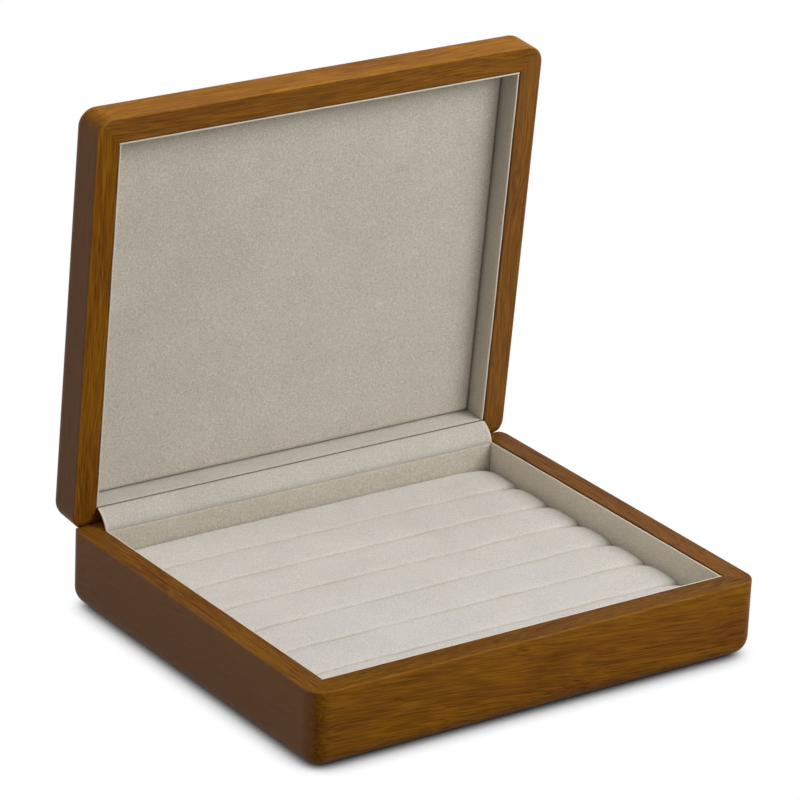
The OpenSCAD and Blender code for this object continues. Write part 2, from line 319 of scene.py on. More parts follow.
def rounded_box(
    span: Span, radius: float, cells: tuple[int, int, int], steps: int = 3
) -> tuple[Points, Faces]:
    """A box with every edge rounded.

    Each point of a plain box's grid is pulled to the given distance from the nearest point of a box
    that is smaller by the radius all round. The grid's lines over a rounding are at the tangents of
    even angles, which makes the faces there even.

    Args:
        span: The box.
        radius: Radius of the edges.
        cells: Faces between the roundings, along X, Y and Z.
        steps: Faces across half of a rounding.

    Returns:
        Its points and its faces.
    """
    near = radius * (1 - np.tan(np.linspace(math.pi / 4, 0, steps + 1)))
    places = [places_along(span.lo[a], span.hi[a], near, cells[a]) for a in range(3)]
    points, faces, count = [], [], 0
    for axis in range(3):
        u, v = [a for a in range(3) if a != axis]
        for end in (span.lo[axis], span.hi[axis]):
            grid = np.empty((len(places[u]), len(places[v]), 3))
            grid[..., axis] = end
            grid[..., u] = places[u][:, None]
            grid[..., v] = places[v][None, :]
            turn = (end == span.hi[axis]) == (axis == 1)
            quads = grid_faces(*grid.shape[:2]) + count
            faces.append(quads if turn else quads[:, ::-1])
            points.append(grid.reshape(-1, 3))
            count += grid.shape[0] * grid.shape[1]
    raw = np.concatenate(points)
    core = np.clip(raw, span.lo + radius, span.hi - radius)
    away = raw - core
    shell = core + radius * away / np.linalg.norm(away, axis=1, keepdims=True)
    microns = np.round(shell / (MM * 1e-3)).astype(np.int64)
    _, first, joined = np.unique(microns, axis=0, return_index=True, return_inverse=True)
    return shell[first], joined.reshape(-1)[np.concatenate(faces)].tolist()


class Seed(IntEnum):
    """Seeds of the irregular waves. A piece's number is added where there are several."""

    PAD_WIDE = 5
    PAD_TALL = 6
    CREASE = 7
    COVER = 21
    FRONT_PUCKER = 30
    DRAWN = 60
    ROLL_TOP = 90
    BACK_PUCKER = 130


@dataclass(frozen=True)
class Wave:
    """A gentle irregular wave along a line: a sum of sines with seeded phases.

    Attributes:
        lengths: Wavelengths of the sines.
        height: Greatest height of the sum.
    """

    lengths: tuple[float, ...]
    height: float

    def along(self, places: Points, seed: int) -> Points:
        """The wave's height at each place along its line.

        Args:
            places: Places along the line.
            seed: Seed of the phases.

        Returns:
            The heights.
        """
        chance = np.random.default_rng(seed)
        phases = chance.uniform(0, 2 * math.pi, len(self.lengths))
        shares = chance.uniform(0.5, 1.0, len(self.lengths))
        total = sum(
            share * np.sin(2 * math.pi * places / length + phase)
            for share, length, phase in zip(shares, self.lengths, phases)
        )
        return self.height * total / shares.sum()


# Finishes


class Mask(Enum):
    """A mask from 0 to 1 on a piece's points, which its material reads by name."""

    # Lighter eased edges: partly sanded wood, partly a painted highlight.
    WEAR = "edge_wear"
    # Painted shade along the rim's inner edge, where the lining meets the wood.
    POOL = "stain_pool"
    FACE = "outer_face"
    # Folds: paler over edges, parted pile with a painted highlight; darker in the rolls' creases, as
    # painted shade.
    FOLD = "fold"
    # Painted shade where the suede goes in under a lining.
    SEAM = "seam"

    def put(self, piece: Piece, values: Points) -> None:
        """Stores the mask's values on a piece's points."""
        attribute = piece.data.attributes.new(self.value, "FLOAT", "POINT")
        attribute.data.foreach_set("value", np.asarray(values, np.float32).ravel())


@dataclass(frozen=True)
class Pattern:
    """A noise, stretched along the axes.

    Attributes:
        waves: Waves a metre along X, Y and Z.
        detail: Number of finer noises in it.
        roughness: Strength of each finer noise.
        distortion: How far it is bent.
    """

    waves: tuple[float, float, float]
    detail: float = 2.0
    roughness: float = 0.5
    distortion: float = 0.0


@dataclass(frozen=True)
class Ramp:
    """A smooth step from one value to another.

    Attributes:
        low: Where it starts.
        high: Where it ends.
        to_low: Its value up to the start.
        to_high: Its value from the end on.
    """

    low: float
    high: float
    to_low: float = 0.0
    to_high: float = 1.0


class NodeBoard:
    """Adds shader nodes to one node tree and joins them."""

    def __init__(self, tree: bpy.types.NodeTree) -> None:
        """Keeps the tree."""
        self.tree = tree

    def feed(self, node: bpy.types.Node, inputs: dict[str | int, object]) -> None:
        """Feeds a node's inputs.

        Args:
            node: The node.
            inputs: A value, or an output to link, for each input by name or number.
        """
        for key, value in inputs.items():
            if isinstance(value, Socket):
                self.tree.links.new(value, node.inputs[key])
            else:
                node.inputs[key].default_value = value

    def node(self, kind: str, inputs: dict[str | int, object], **settings) -> bpy.types.Node:
        """Adds a node.

        Args:
            kind: Its type without the ShaderNode in front.
            inputs: What its inputs are fed.
            **settings: Its own settings.

        Returns:
            The node.
        """
        made = self.tree.nodes.new("ShaderNode" + kind)
        for key, value in settings.items():
            setattr(made, key, value)
        self.feed(made, inputs)
        return made

    def math(self, operation: str, *values: object, clamp: bool = False) -> Socket:
        """The output of a Math node."""
        made = self.node("Math", dict(enumerate(values)), operation=operation, use_clamp=clamp)
        return made.outputs[0]

    def vector(self, operation: str, inputs: dict[str | int, object]) -> Socket:
        """The vector output of a Vector Math node."""
        return self.node("VectorMath", inputs, operation=operation).outputs[0]

    def shaded(self, colour: Socket, shade: Socket) -> Socket:
        """A colour made darker or lighter."""
        return self.vector("SCALE", {0: colour, "Scale": shade})

    def ramp(self, value: Socket, ramp: Ramp) -> Socket:
        """A value taken through a ramp.

        Args:
            value: The value.
            ramp: The ramp.

        Returns:
            The output.
        """
        ends = {"From Min": ramp.low, "From Max": ramp.high, "To Min": ramp.to_low}
        inputs = {"Value": value, **ends, "To Max": ramp.to_high}
        return self.node("MapRange", inputs, interpolation_type="SMOOTHSTEP").outputs["Result"]

    def blend(self, share: Socket, a: Socket | Colour, b: Socket | Colour) -> Socket:
        """A colour between two others."""
        inputs = {0: share, 6: a, 7: b}
        return self.node("Mix", inputs, data_type="RGBA", clamp_factor=True).outputs[2]

    def noise(self, place: Socket, pattern: Pattern) -> Socket:
        """The value of a pattern at a place.

        Args:
            place: The coordinates.
            pattern: The pattern.

        Returns:
            The output.
        """
        inputs = {
            "Vector": self.vector("MULTIPLY", {0: place, 1: pattern.waves}),
            "Scale": 1.0,
            "Detail": pattern.detail,
            "Roughness": pattern.roughness,
            "Distortion": pattern.distortion,
        }
        return self.node("TexNoise", inputs).outputs[0]

    def place(self) -> Socket:
        """The place on the object, in its own coordinates."""
        return self.node("TexCoord", {}).outputs["Object"]

    def mask(self, mask: Mask) -> Socket:
        """The value of a mask."""
        settings = {"attribute_name": mask.value, "attribute_type": "GEOMETRY"}
        return self.node("Attribute", {}, **settings).outputs["Fac"]

    def bump(self, height: Socket, strength: float, depth: float) -> Socket:
        """The normal that a Bump node makes from a height."""
        inputs = {"Height": height, "Strength": strength, "Distance": depth}
        return self.node("Bump", inputs).outputs["Normal"]


def new_group(
    name: str, inputs: dict[str, str], outputs: dict[str, str]
) -> tuple[NodeBoard, bpy.types.NodeInputs, bpy.types.Node]:
    """Starts a shader node group.

    Args:
        name: Name of the group.
        inputs: Socket type of each input, by name.
        outputs: Socket type of each output, by name.

    Returns:
        A board on its tree, the sockets that bring the inputs, and the node that takes the outputs.
    """
    tree = bpy.data.node_groups.new(name, "ShaderNodeTree")
    for way, sockets in (("INPUT", inputs), ("OUTPUT", outputs)):
        for key, kind in sockets.items():
            tree.interface.new_socket(key, in_out=way, socket_type="NodeSocket" + kind)
    source = tree.nodes.new("NodeGroupInput")
    return NodeBoard(tree), source.outputs, tree.nodes.new("NodeGroupOutput")


@dataclass(frozen=True)
class OpenGrain:
    """Stained open-grained wood, with its grain along X.

    Broad bands, patches and streaks of lighter and darker wood run along the grain, fine fibres lie
    over them, and short thin dashes are the pores, which hold the stain.

    Attributes:
        drift: How the grain drifts from a straight line.
        drift_reach: How far it drifts.
        tones: The bands, the streaks and the patches, each with its share of the lighter colour.
        fibres: The fine fibres.
        fibre_shade: How dark and how light they are.
        fibre_relief: Their height, as a share of the pores' depth.
        dashes: Where the pores are.
        pore_ramp: How they end.
        pore_stain: How much darker they are.
    """

    drift: Pattern = Pattern((7, 22, 22))
    drift_reach: float = 14.0 * MM
    tones: tuple[tuple[Pattern, Ramp], ...] = (
        (Pattern((5, 95, 95), detail=3.0, roughness=0.6), Ramp(0.32, 0.68, to_high=0.30)),
        (Pattern((55, 760, 760), roughness=0.6), Ramp(0.30, 0.70, to_high=0.34)),
        (Pattern((14, 48, 48)), Ramp(0.34, 0.66, to_high=0.36)),
    )
    fibres: Pattern = Pattern((40, 1350, 1350), roughness=0.6)
    fibre_shade: Ramp = Ramp(0.27, 0.73, 0.66, 1.29)
    fibre_relief: float = 0.25
    dashes: Pattern = Pattern((80, 1500, 1500), detail=1.0)
    pore_ramp: Ramp = Ramp(0.56, 0.70)
    pore_stain: float = 0.26

    def group(self) -> bpy.types.NodeTree:
        """Makes the node group.

        Returns:
            Its tree.
        """
        board, given, sink = new_group(
            "open_grain",
            {"Place": "Vector", "Dark": "Color", "Light": "Color"},
            {"Color": "Color", "Shine Loss": "Float", "Height": "Float"},
        )
        drift = board.math("SUBTRACT", board.noise(given["Place"], self.drift), 0.5)
        lift = board.math("MULTIPLY", drift, self.drift_reach)
        shift = board.node("CombineXYZ", {"Y": lift, "Z": lift}).outputs[0]
        place = board.vector("ADD", {0: given["Place"], 1: shift})
        tones = [board.ramp(board.noise(place, pattern), ramp) for pattern, ramp in self.tones]
        tone = board.math("ADD", tones[0], board.math("ADD", tones[1], tones[2]))
        stained = board.blend(tone, given["Dark"], given["Light"])
        fibres = board.noise(place, self.fibres)
        pores = board.ramp(board.noise(place, self.dashes), self.pore_ramp)
        pore_shade = board.math("SUBTRACT", 1.0, board.math("MULTIPLY", pores, self.pore_stain))
        shade = board.math("MULTIPLY", board.ramp(fibres, self.fibre_shade), pore_shade)
        raised = board.math("MULTIPLY", fibres, self.fibre_relief)
        relief = board.math("SUBTRACT", raised, pores)
        shaded = board.shaded(stained, shade)
        board.feed(sink, {"Color": shaded, "Shine Loss": pores, "Height": relief})
        return board.tree


@dataclass(frozen=True)
class SuedeNap:
    """Brushed suede: a fine pile, small flecks where it lies over, and wide brushed patches.

    Attributes:
        pile: The fine pile.
        pile_shade: How dark and how light it is.
        pile_height: Its height.
        flecks: The flecks.
        fleck_ramp: How they end.
        fleck_height: Their height.
        patches: The patches.
        patch_shade: How dark and how light they are.
    """

    pile: Pattern = Pattern((2000, 2000, 1700), roughness=0.7)
    pile_shade: Ramp = Ramp(0.28, 0.72, 0.80, 1.17)
    pile_height: float = 0.5
    flecks: Pattern = Pattern((1150, 1150, 1000), detail=3.0, roughness=0.7)
    fleck_ramp: Ramp = Ramp(0.30, 0.70)
    fleck_height: float = 0.9
    patches: Pattern = Pattern((38, 38, 38), detail=3.0, roughness=0.55)
    patch_shade: Ramp = Ramp(0.25, 0.75, 0.96, 1.03)

    def group(self) -> bpy.types.NodeTree:
        """Makes the node group.

        Returns:
            Its tree.
        """
        board, given, sink = new_group(
            "suede_nap",
            {"Place": "Vector", "Colour": "Color", "Fleck": "Color", "Fleck Share": "Float"},
            {"Color": "Color", "Height": "Float"},
        )
        pile, flecks, patches = (
            board.noise(given["Place"], pattern)
            for pattern in (self.pile, self.flecks, self.patches)
        )
        share = board.math("MULTIPLY", board.ramp(flecks, self.fleck_ramp), given["Fleck Share"])
        dyed = board.blend(share, given["Colour"], given["Fleck"])
        patch_shade = board.ramp(patches, self.patch_shade)
        shade = board.math("MULTIPLY", patch_shade, board.ramp(pile, self.pile_shade))
        pile_up = board.math("MULTIPLY", pile, self.pile_height)
        fleck_up = board.math("MULTIPLY", flecks, self.fleck_height)
        height = board.math("ADD", pile_up, fleck_up)
        board.feed(sink, {"Color": board.shaded(dyed, shade), "Height": height})
        return board.tree


@dataclass(frozen=True)
class NodeGroups:
    """The shader effects that several materials share.

    Attributes:
        grain: The wood's grain.
        nap: The suede's nap.
    """

    grain: bpy.types.NodeTree
    nap: bpy.types.NodeTree


def material_board(name: str) -> tuple[Material, NodeBoard, bpy.types.Node]:
    """Starts a material.

    Args:
        name: Name of the material.

    Returns:
        The material, a board on its tree and its Principled BSDF.
    """
    material = bpy.data.materials.new(name)
    material.use_nodes = True
    return material, NodeBoard(material.node_tree), material.node_tree.nodes["Principled BSDF"]


def rgb(red: float, green: float, blue: float) -> Colour:
    """A full colour from its linear red, green and blue."""
    return (red, green, blue, 1.0)


@dataclass(frozen=True)
class Face:
    """How a board's outer face differs from its rim.

    Attributes:
        tone: Painted light and shade: how much lighter or darker the outer face is painted for how
            the light falls on it.
        haze: How much painted reflection, a grey veil of the pale room, it shows.
        rim_haze: How much of that painted reflection the rim shows.
        rim_tone: Painted shade: how much darker or lighter the rim is painted for how the light
            falls on it.
        calm: How much of its grain the stain hides.
        lean: How far the grain leans off the board, in radians.
    """

    tone: float = 1.0
    haze: float = 0.0
    rim_haze: float = 0.0
    rim_tone: float = 1.0
    calm: float = 0.0
    lean: float = 0.0


@dataclass(frozen=True)
class WoodFinish:
    """Stained open-grained wood under a satin lacquer.

    Attributes:
        name: Name that the materials begin with.
        dark: Colour of the dark bands.
        light: Colour of the light bands.
        worn: Colour of the eased edges: partly wood sanded through to a lighter tone, partly a
            painted highlight where a rounded edge catches the light.
        slot: The record's slot of the pieces in this wood.
        haze: Colour of the painted reflection, a grey veil of the pale room.
        roughness: Roughness of the lacquer.
        pore_roughness: How much rougher it is over the pores.
        specular: How strongly it shines.
        relief: Strength of the pores' relief.
        pore_depth: Depth of the pores.
        wear_share: How much of that lighter colour, sanded wood and painted highlight, the eased
            edges show.
        wear: Where the eased edges are lighter and where less so.
        wear_ramp: How much more and less.
        pool_share: How much darker the rim's inner edge is painted, as painted shade beside the
            lining.
        cut_way: The way through the wood along which the boards are cut apart.
    """

    name: str
    dark: Colour
    light: Colour
    worn: Colour
    slot: str
    haze: Colour = rgb(0.17, 0.120, 0.115)
    roughness: float = 0.40
    pore_roughness: float = 0.22
    specular: float = 0.03
    relief: float = 0.5
    pore_depth: float = 0.06 * MM
    wear_share: float = 0.32
    wear: Pattern = Pattern((120, 260, 260), detail=3.0)
    wear_ramp: Ramp = Ramp(0.35, 0.65, 0.45, 1.0)
    pool_share: float = 0.45
    cut_way: tuple[float, float, float] = (1.0, 1.7, 0.6)

    def material(
        self, groups: NodeGroups, word: str, grain: Grain, on_lid: bool, cut: float, face: Face
    ) -> Material:
        """Makes the wood of one board.

        Args:
            groups: The shared node groups.
            word: The board's own word in the material's name.
            grain: The way its grain runs.
            on_lid: True for a board that lies turned with the open lid.
            cut: Where in the wood the board was cut, so that no two look the same.
            face: The painted light and shade, painted reflection and calmer grain of the board's
                outer face.

        Returns:
            The material.
        """
        material, board, surface = material_board(f"{self.name}_{word}")
        turn = (TURN.angle if on_lid else 0.0, face.lean, grain.value)
        shift = tuple(cut * step for step in self.cut_way)
        inputs = {"Vector": board.place(), "Location": shift, "Rotation": turn}
        place = board.node("Mapping", inputs).outputs[0]
        inputs = {"Place": place, "Dark": self.dark, "Light": self.light}
        wood = board.node("Group", {}, node_tree=groups.grain)
        board.feed(wood, inputs)
        outer = board.mask(Mask.FACE)
        even = tuple((a + b) / 2 for a, b in zip(self.dark, self.light))
        calm = board.math("MULTIPLY", outer, face.calm)
        calmed = board.blend(calm, wood.outputs["Color"], even)
        uneven = board.ramp(board.noise(place, self.wear), self.wear_ramp)
        # Lighter eased edges: partly sanded wood, partly a painted highlight.
        worn = board.math("MULTIPLY", board.mask(Mask.WEAR), uneven)
        colour = board.blend(board.math("MULTIPLY", worn, self.wear_share), calmed, self.worn)
        # Painted light and shade: the outer face and the rim painted lighter or darker for how the
        # light falls on them.
        shade = board.math("MULTIPLY_ADD", outer, face.tone - face.rim_tone, face.rim_tone)
        # Painted shade along the rim's inner edge.
        shade = board.math("MULTIPLY_ADD", board.mask(Mask.POOL), -self.pool_share, shade)
        # Painted reflection: a grey veil of the pale room mixed into the colour.
        painted_reflection_share = board.math("MULTIPLY_ADD", outer, face.haze - face.rim_haze, face.rim_haze)
        gain = self.pore_roughness
        rough = board.math("MULTIPLY_ADD", wood.outputs["Shine Loss"], gain, self.roughness)
        inputs = {
            "Base Color": board.blend(painted_reflection_share, board.shaded(colour, shade), self.haze),
            "Roughness": rough,
            "Normal": board.bump(wood.outputs["Height"], self.relief, self.pore_depth),
            "Specular IOR Level": self.specular,
        }
        board.feed(surface, inputs)
        return material


@dataclass(frozen=True)
class SuedeFinish:
    """Microsuede with a short brushed pile.

    Attributes:
        name: Name of the material.
        colour: Colour of the pile.
        fleck: Colour of the small darker flecks.
        fleck_share: How much the flecks show.
        slot: The record's slot of the pieces in this suede.
        fold: Colour of a fold: paler where the suede is stretched over an edge and the pile parts,
            with a painted highlight there; darker on the rolls, as painted shade in their creases.
        seam_share: How much darker it is painted where it goes in under a lining, as painted shade.
        roughness: Roughness of the pile.
        specular: How strongly it shines.
        sheen: How much of its glow at a low angle it shows.
        sheen_roughness: How wide that glow is.
        relief: Strength of the pile's relief.
        depth: Depth of the pile.
    """

    name: str
    colour: Colour
    fleck: Colour
    fleck_share: float
    slot: str
    fold: Colour = rgb(0.80, 0.70, 0.57)
    seam_share: float = 0.78
    roughness: float = 0.9
    specular: float = 0.1
    sheen: float = 0.25
    sheen_roughness: float = 0.45
    relief: float = 0.6
    depth: float = 0.10 * MM

    def material(self, groups: NodeGroups) -> Material:
        """Makes the suede.

        Args:
            groups: The shared node groups.

        Returns:
            The material.
        """
        material, board, surface = material_board(self.name)
        nap = board.node("Group", {}, node_tree=groups.nap)
        inputs = {"Place": board.place(), "Colour": self.colour, "Fleck": self.fleck}
        board.feed(nap, {**inputs, "Fleck Share": self.fleck_share})
        # Painted highlight on the paler folds, painted shade in the rolls' creases.
        fold_painted_colour = board.blend(board.mask(Mask.FOLD), nap.outputs["Color"], self.fold)
        # Painted shade where the suede goes in under a lining.
        shade = board.math("MULTIPLY_ADD", board.mask(Mask.SEAM), -self.seam_share, 1.0)
        inputs = {
            "Base Color": board.shaded(fold_painted_colour, shade),
            "Normal": board.bump(nap.outputs["Height"], self.relief, self.depth),
            "Roughness": self.roughness,
            "Specular IOR Level": self.specular,
            "Sheen Weight": self.sheen,
            "Sheen Roughness": self.sheen_roughness,
        }
        board.feed(surface, inputs)
        return material


@dataclass(frozen=True)
class BrassFinish:
    """Brass brushed along the hinge line, dulled in small spots.

    Attributes:
        name: Name of the material.
        bright: Colour of the clean brass.
        dull: Colour of the dulled brass.
        brush: The brush marks.
        spots: The spots.
        spot_ramp: How the spots end.
        roughness: Roughness of the clean brass between the brush marks.
        added_roughness: How much a brush mark adds to it, and a spot.
        relief: Strength of the brush marks' relief.
        depth: Depth of the brush marks.
    """

    name: str = "brushed_brass"
    bright: Colour = rgb(0.72, 0.50, 0.20)
    dull: Colour = rgb(0.42, 0.27, 0.10)
    brush: Pattern = Pattern((60, 4200, 4200))
    spots: Pattern = Pattern((320, 320, 320), detail=3.0)
    spot_ramp: Ramp = Ramp(0.45, 0.75)
    roughness: float = 0.20
    added_roughness: float = 0.18
    relief: float = 0.25
    depth: float = 0.02 * MM

    def material(self) -> Material:
        """Makes the brass.

        Returns:
            The material.
        """
        material, board, surface = material_board(self.name)
        place = board.place()
        brush = board.noise(place, self.brush)
        tarnish = board.ramp(board.noise(place, self.spots), self.spot_ramp)
        both = board.math("ADD", brush, tarnish)
        inputs = {
            "Base Color": board.blend(tarnish, self.bright, self.dull),
            "Roughness": board.math("MULTIPLY_ADD", both, self.added_roughness, self.roughness),
            "Normal": board.bump(brush, self.relief, self.depth),
            "Metallic": 1.0,
        }
        board.feed(surface, inputs)
        return material


@dataclass(frozen=True)
class FibreFinish:
    """Pressed fibres, for the felt and for the boards inside.

    Attributes:
        name: Name of the material.
        dark: Colour of the darker fibres.
        light: Colour of the lighter fibres.
        fineness: Fibres a metre.
        depth: Height of the relief.
        sheen: How much of its glow at a low angle it shows.
        length: Length of a fibre, in widths of it.
        tone_ramp: How the darker fibres pass into the lighter ones.
        relief: Strength of the relief.
        roughness: Roughness of the fibres.
        specular: How strongly they shine.
    """

    name: str
    dark: Colour
    light: Colour
    fineness: float
    depth: float
    sheen: float = 0.0
    length: float = 5.0
    tone_ramp: Ramp = Ramp(0.12, 0.42)
    relief: float = 0.7
    roughness: float = 0.9
    specular: float = 0.15

    def material(self) -> Material:
        """Makes the fibres: two crossed stretched noises.

        Returns:
            The material.
        """
        material, board, surface = material_board(self.name)
        place = board.place()
        thin, long = self.fineness, self.fineness / self.length
        ways = ((thin, long, thin), (long, thin, thin))
        patterns = [Pattern(way, detail=3.0, distortion=1.2) for way in ways]
        crossed = board.math("MULTIPLY", *(board.noise(place, pattern) for pattern in patterns))
        tone = board.ramp(crossed, self.tone_ramp)
        inputs = {
            "Base Color": board.blend(tone, self.dark, self.light),
            "Normal": board.bump(crossed, self.relief, self.depth),
            "Roughness": self.roughness,
            "Specular IOR Level": self.specular,
            "Sheen Weight": self.sheen,
        }
        board.feed(surface, inputs)
        return material


def dress(piece: Piece, material: Material) -> None:
    """Gives a piece one material all over."""
    piece.data.materials.clear()
    piece.data.materials.append(material)


def stand_in(piece: Piece, material: Material, body: str, node: str) -> None:
    """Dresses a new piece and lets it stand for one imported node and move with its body.

    Args:
        piece: The piece.
        material: Its material.
        body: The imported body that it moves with.
        node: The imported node.
    """
    dress(piece, material)
    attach(piece, body)
    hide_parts(node)
    log.info("%s: %d faces, on %s", piece.name, len(piece.data.polygons), body)


# Woodwork


@dataclass
class MitredFrame:
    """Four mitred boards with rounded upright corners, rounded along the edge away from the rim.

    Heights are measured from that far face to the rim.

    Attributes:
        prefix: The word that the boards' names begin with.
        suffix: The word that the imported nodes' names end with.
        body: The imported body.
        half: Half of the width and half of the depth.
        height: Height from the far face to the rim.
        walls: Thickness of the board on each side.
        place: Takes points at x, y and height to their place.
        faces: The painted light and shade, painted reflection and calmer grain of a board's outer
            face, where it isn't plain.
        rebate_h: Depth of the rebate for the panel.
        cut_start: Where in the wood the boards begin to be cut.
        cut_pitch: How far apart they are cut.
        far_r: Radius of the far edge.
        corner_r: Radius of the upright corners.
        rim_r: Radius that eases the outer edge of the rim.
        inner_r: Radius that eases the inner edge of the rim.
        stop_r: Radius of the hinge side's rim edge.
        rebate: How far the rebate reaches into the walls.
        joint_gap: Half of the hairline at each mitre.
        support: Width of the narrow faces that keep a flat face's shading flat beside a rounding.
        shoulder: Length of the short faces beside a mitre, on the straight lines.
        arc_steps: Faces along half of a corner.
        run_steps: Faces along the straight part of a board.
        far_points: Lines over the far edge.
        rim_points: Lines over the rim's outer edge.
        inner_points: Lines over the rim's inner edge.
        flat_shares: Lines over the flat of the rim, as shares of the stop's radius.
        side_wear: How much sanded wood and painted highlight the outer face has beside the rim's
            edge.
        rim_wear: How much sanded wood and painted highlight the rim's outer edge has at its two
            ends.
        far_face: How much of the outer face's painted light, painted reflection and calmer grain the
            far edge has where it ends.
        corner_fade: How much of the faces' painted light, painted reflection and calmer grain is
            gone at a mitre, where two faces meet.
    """

    prefix: str
    suffix: str
    body: str
    half: tuple[float, float]
    height: float
    walls: dict[Side, float]
    place: Callable[[Points], Points]
    faces: dict[Side, Face]
    rebate_h: float
    cut_start: float = 0.0
    cut_pitch: float = 0.31
    far_r: float = 8.9 * MM
    corner_r: float = 9.0 * MM
    rim_r: float = 0.8 * MM
    inner_r: float = 0.5 * MM
    stop_r: float = 5.5 * MM
    rebate: float = 4.0 * MM
    joint_gap: float = 0.003 * MM
    support: float = 0.35 * MM
    shoulder: float = 4.0 * MM
    arc_steps: int = 10
    run_steps: int = 12
    far_points: int = 9
    rim_points: int = 6
    inner_points: int = 5
    flat_shares: tuple[float, ...] = (0.25, 0.35, 0.5, 0.65, 0.82, 1.0)
    side_wear: float = 0.3
    rim_wear: float = 0.4
    far_face: float = 0.3
    corner_fade: float = 0.8

    def cap(self, y: Points) -> Points:
        """The height of the stop's rounding at a place in Y: a quarter circle down to the back.

        Args:
            y: The place.

        Returns:
            The greatest height of the board there.
        """
        past = np.clip(y - (self.half[1] - self.stop_r), 0, self.stop_r)
        return self.height - self.stop_r + np.sqrt(self.stop_r**2 - past**2)

    def mitre_angle(self, own: float, other: float, inner: Points) -> Points:
        """The angle at which the mitre cuts a corner's arc, from the board's outward direction.

        The mitre is the straight line from the outer corner to the inner one, which two boards of
        unlike thickness meet at less or more than 45 degrees.

        Args:
            own: Thickness of this board.
            other: Thickness of the board that it meets.
            inner: Radius of the arc.

        Returns:
            The angle in radians for each radius.
        """
        lean = math.atan2(other, own)
        offset = self.corner_r * (own - other) / (inner * math.hypot(own, other))
        return lean + np.arcsin(np.clip(offset, -1, 1))

    def steps_along(self) -> tuple[Points, Points, Points]:
        """Shares along a board: of its start's arc, of its straight run and of its end's arc.

        Returns:
            Three shares for each place, the second from -1 to 1.
        """
        arc = np.linspace(0, 1, self.arc_steps + 1)
        between = np.linspace(-1, 1, self.run_steps + 1)[1:-1]
        start = np.concatenate([arc[::-1], 0 * between, 0 * arc])
        run = np.concatenate([-1 + 0 * arc, between, 1 + 0 * arc])
        return start, run, start[::-1]

    def reaches(self, side: Side) -> tuple[Points, Points, float, float]:
        """A board's unit steps along and outwards, and how far the frame reaches in both.

        Args:
            side: The board.

        Returns:
            The two steps and the two distances from the middle.
        """
        along, out = (np.array(v, float) for v in side.value)
        return along, out, abs(along @ self.half), abs(out @ self.half)

    def round_rows(self, side: Side, offsets: Points) -> Points:
        """Lines along the rounded outline, each at its own offset inside it.

        A line is straight as far as the corners, and there an arc about the corner's centre.

        Args:
            side: The board.
            offsets: Distance of each line from the outer face.

        Returns:
            Lines x places x 2, in X and Y.
        """
        along, out, length, depth = self.reaches(side)
        start, run, end = (s[None, :] for s in self.steps_along())
        inner = (self.corner_r - offsets)[:, None]
        own = self.walls[side]
        first = self.mitre_angle(own, self.walls[side.before], inner)
        last = self.mitre_angle(own, self.walls[side.after], inner)
        t = run * (length - self.corner_r) + inner * (np.sin(end * last) - np.sin(start * first))
        t = t - self.joint_gap * run
        n = depth - self.corner_r + inner * np.cos(start * first + end * last)
        return t[..., None] * along + n[..., None] * out

    def sharp_row(self, side: Side, from_inside: float) -> Points:
        """A straight line between two mitres, at a distance from the inner faces.

        Args:
            side: The board.
            from_inside: Distance from the inner face, the same on the boards that it meets.

        Returns:
            Places x 2, in X and Y.
        """
        along, out, length, depth = self.reaches(side)
        start, run, end = self.steps_along()
        first = -(length - self.walls[side.before] + from_inside)
        last = length - self.walls[side.after] + from_inside
        middle, reach = (first + last) / 2, (last - first) / 2 - self.shoulder
        t = middle + run * (reach - self.joint_gap) + self.shoulder * (end - start)
        n = np.full_like(t, depth - self.walls[side] + from_inside)
        return t[..., None] * along + n[..., None] * out

    def outer_section(self, side: Side) -> tuple[Points, Points, Points, Points]:
        """The section from the far face up the outer face and over the rim's outer half.

        Args:
            side: The board.

        Returns:
            Each point's distance from the outer face, its height, how much sanded wood and painted
            highlight it has, and how much it is part of the outer face.
        """
        far = np.linspace(0, math.pi / 2, self.far_points)
        far_in = np.minimum(self.far_r * (1 - np.sin(far)), self.walls[side] - self.rebate)
        far_up = self.far_r - np.sqrt(np.maximum(self.far_r**2 - (self.far_r - far_in) ** 2, 0))
        rim = np.linspace(0, math.pi / 2, self.rim_points)
        rim_in = self.rim_r * (1 - np.cos(rim))
        rim_up = self.height - self.rim_r * (1 - np.sin(rim))
        flat_in = np.array(self.flat_shares) * self.stop_r
        face_up = [self.far_r + self.support, self.height - self.rim_r - self.support]
        inside = np.concatenate([far_in, [0.0, 0.0], rim_in, flat_in])
        up = np.concatenate([far_up, face_up, rim_up, np.full_like(flat_in, self.height)])
        edge = np.sin(2 * rim) * (1 - self.rim_wear) + self.rim_wear
        wear = np.concatenate([0 * far_in, [0.0, self.side_wear], edge, 0 * flat_in])
        far_face = np.linspace(self.far_face, 1, self.far_points)
        face = np.concatenate([far_face, [1.0, 1.0], np.cos(rim), 0 * flat_in])
        return inside, up, wear, face

    def outer_lines(self, side: Side, inside: Points, up: Points) -> Points:
        """The outer section's lines, brought down where the stop rounds the hinge side's rim.

        Above the far edge the outer face is squeezed between its foot and the rounding, and the
        rest is cut off by it.

        Args:
            side: The board.
            inside: Each line's distance from the outer face.
            up: Each line's height.

        Returns:
            Lines x places x 3.
        """
        lines = self.round_rows(side, inside)
        cap = self.cap(lines[..., 1])
        foot = self.far_r + self.support
        top = self.height - self.rim_r
        raised = up[:, None] + 0 * cap
        upright = (inside[:, None] == 0) & (raised > foot)
        squeezed = foot + (raised - foot) * (np.minimum(cap, top) - foot) / (top - foot)
        level = np.where(upright, squeezed, np.minimum(raised, cap))
        return np.concatenate([lines, level[..., None]], axis=-1)

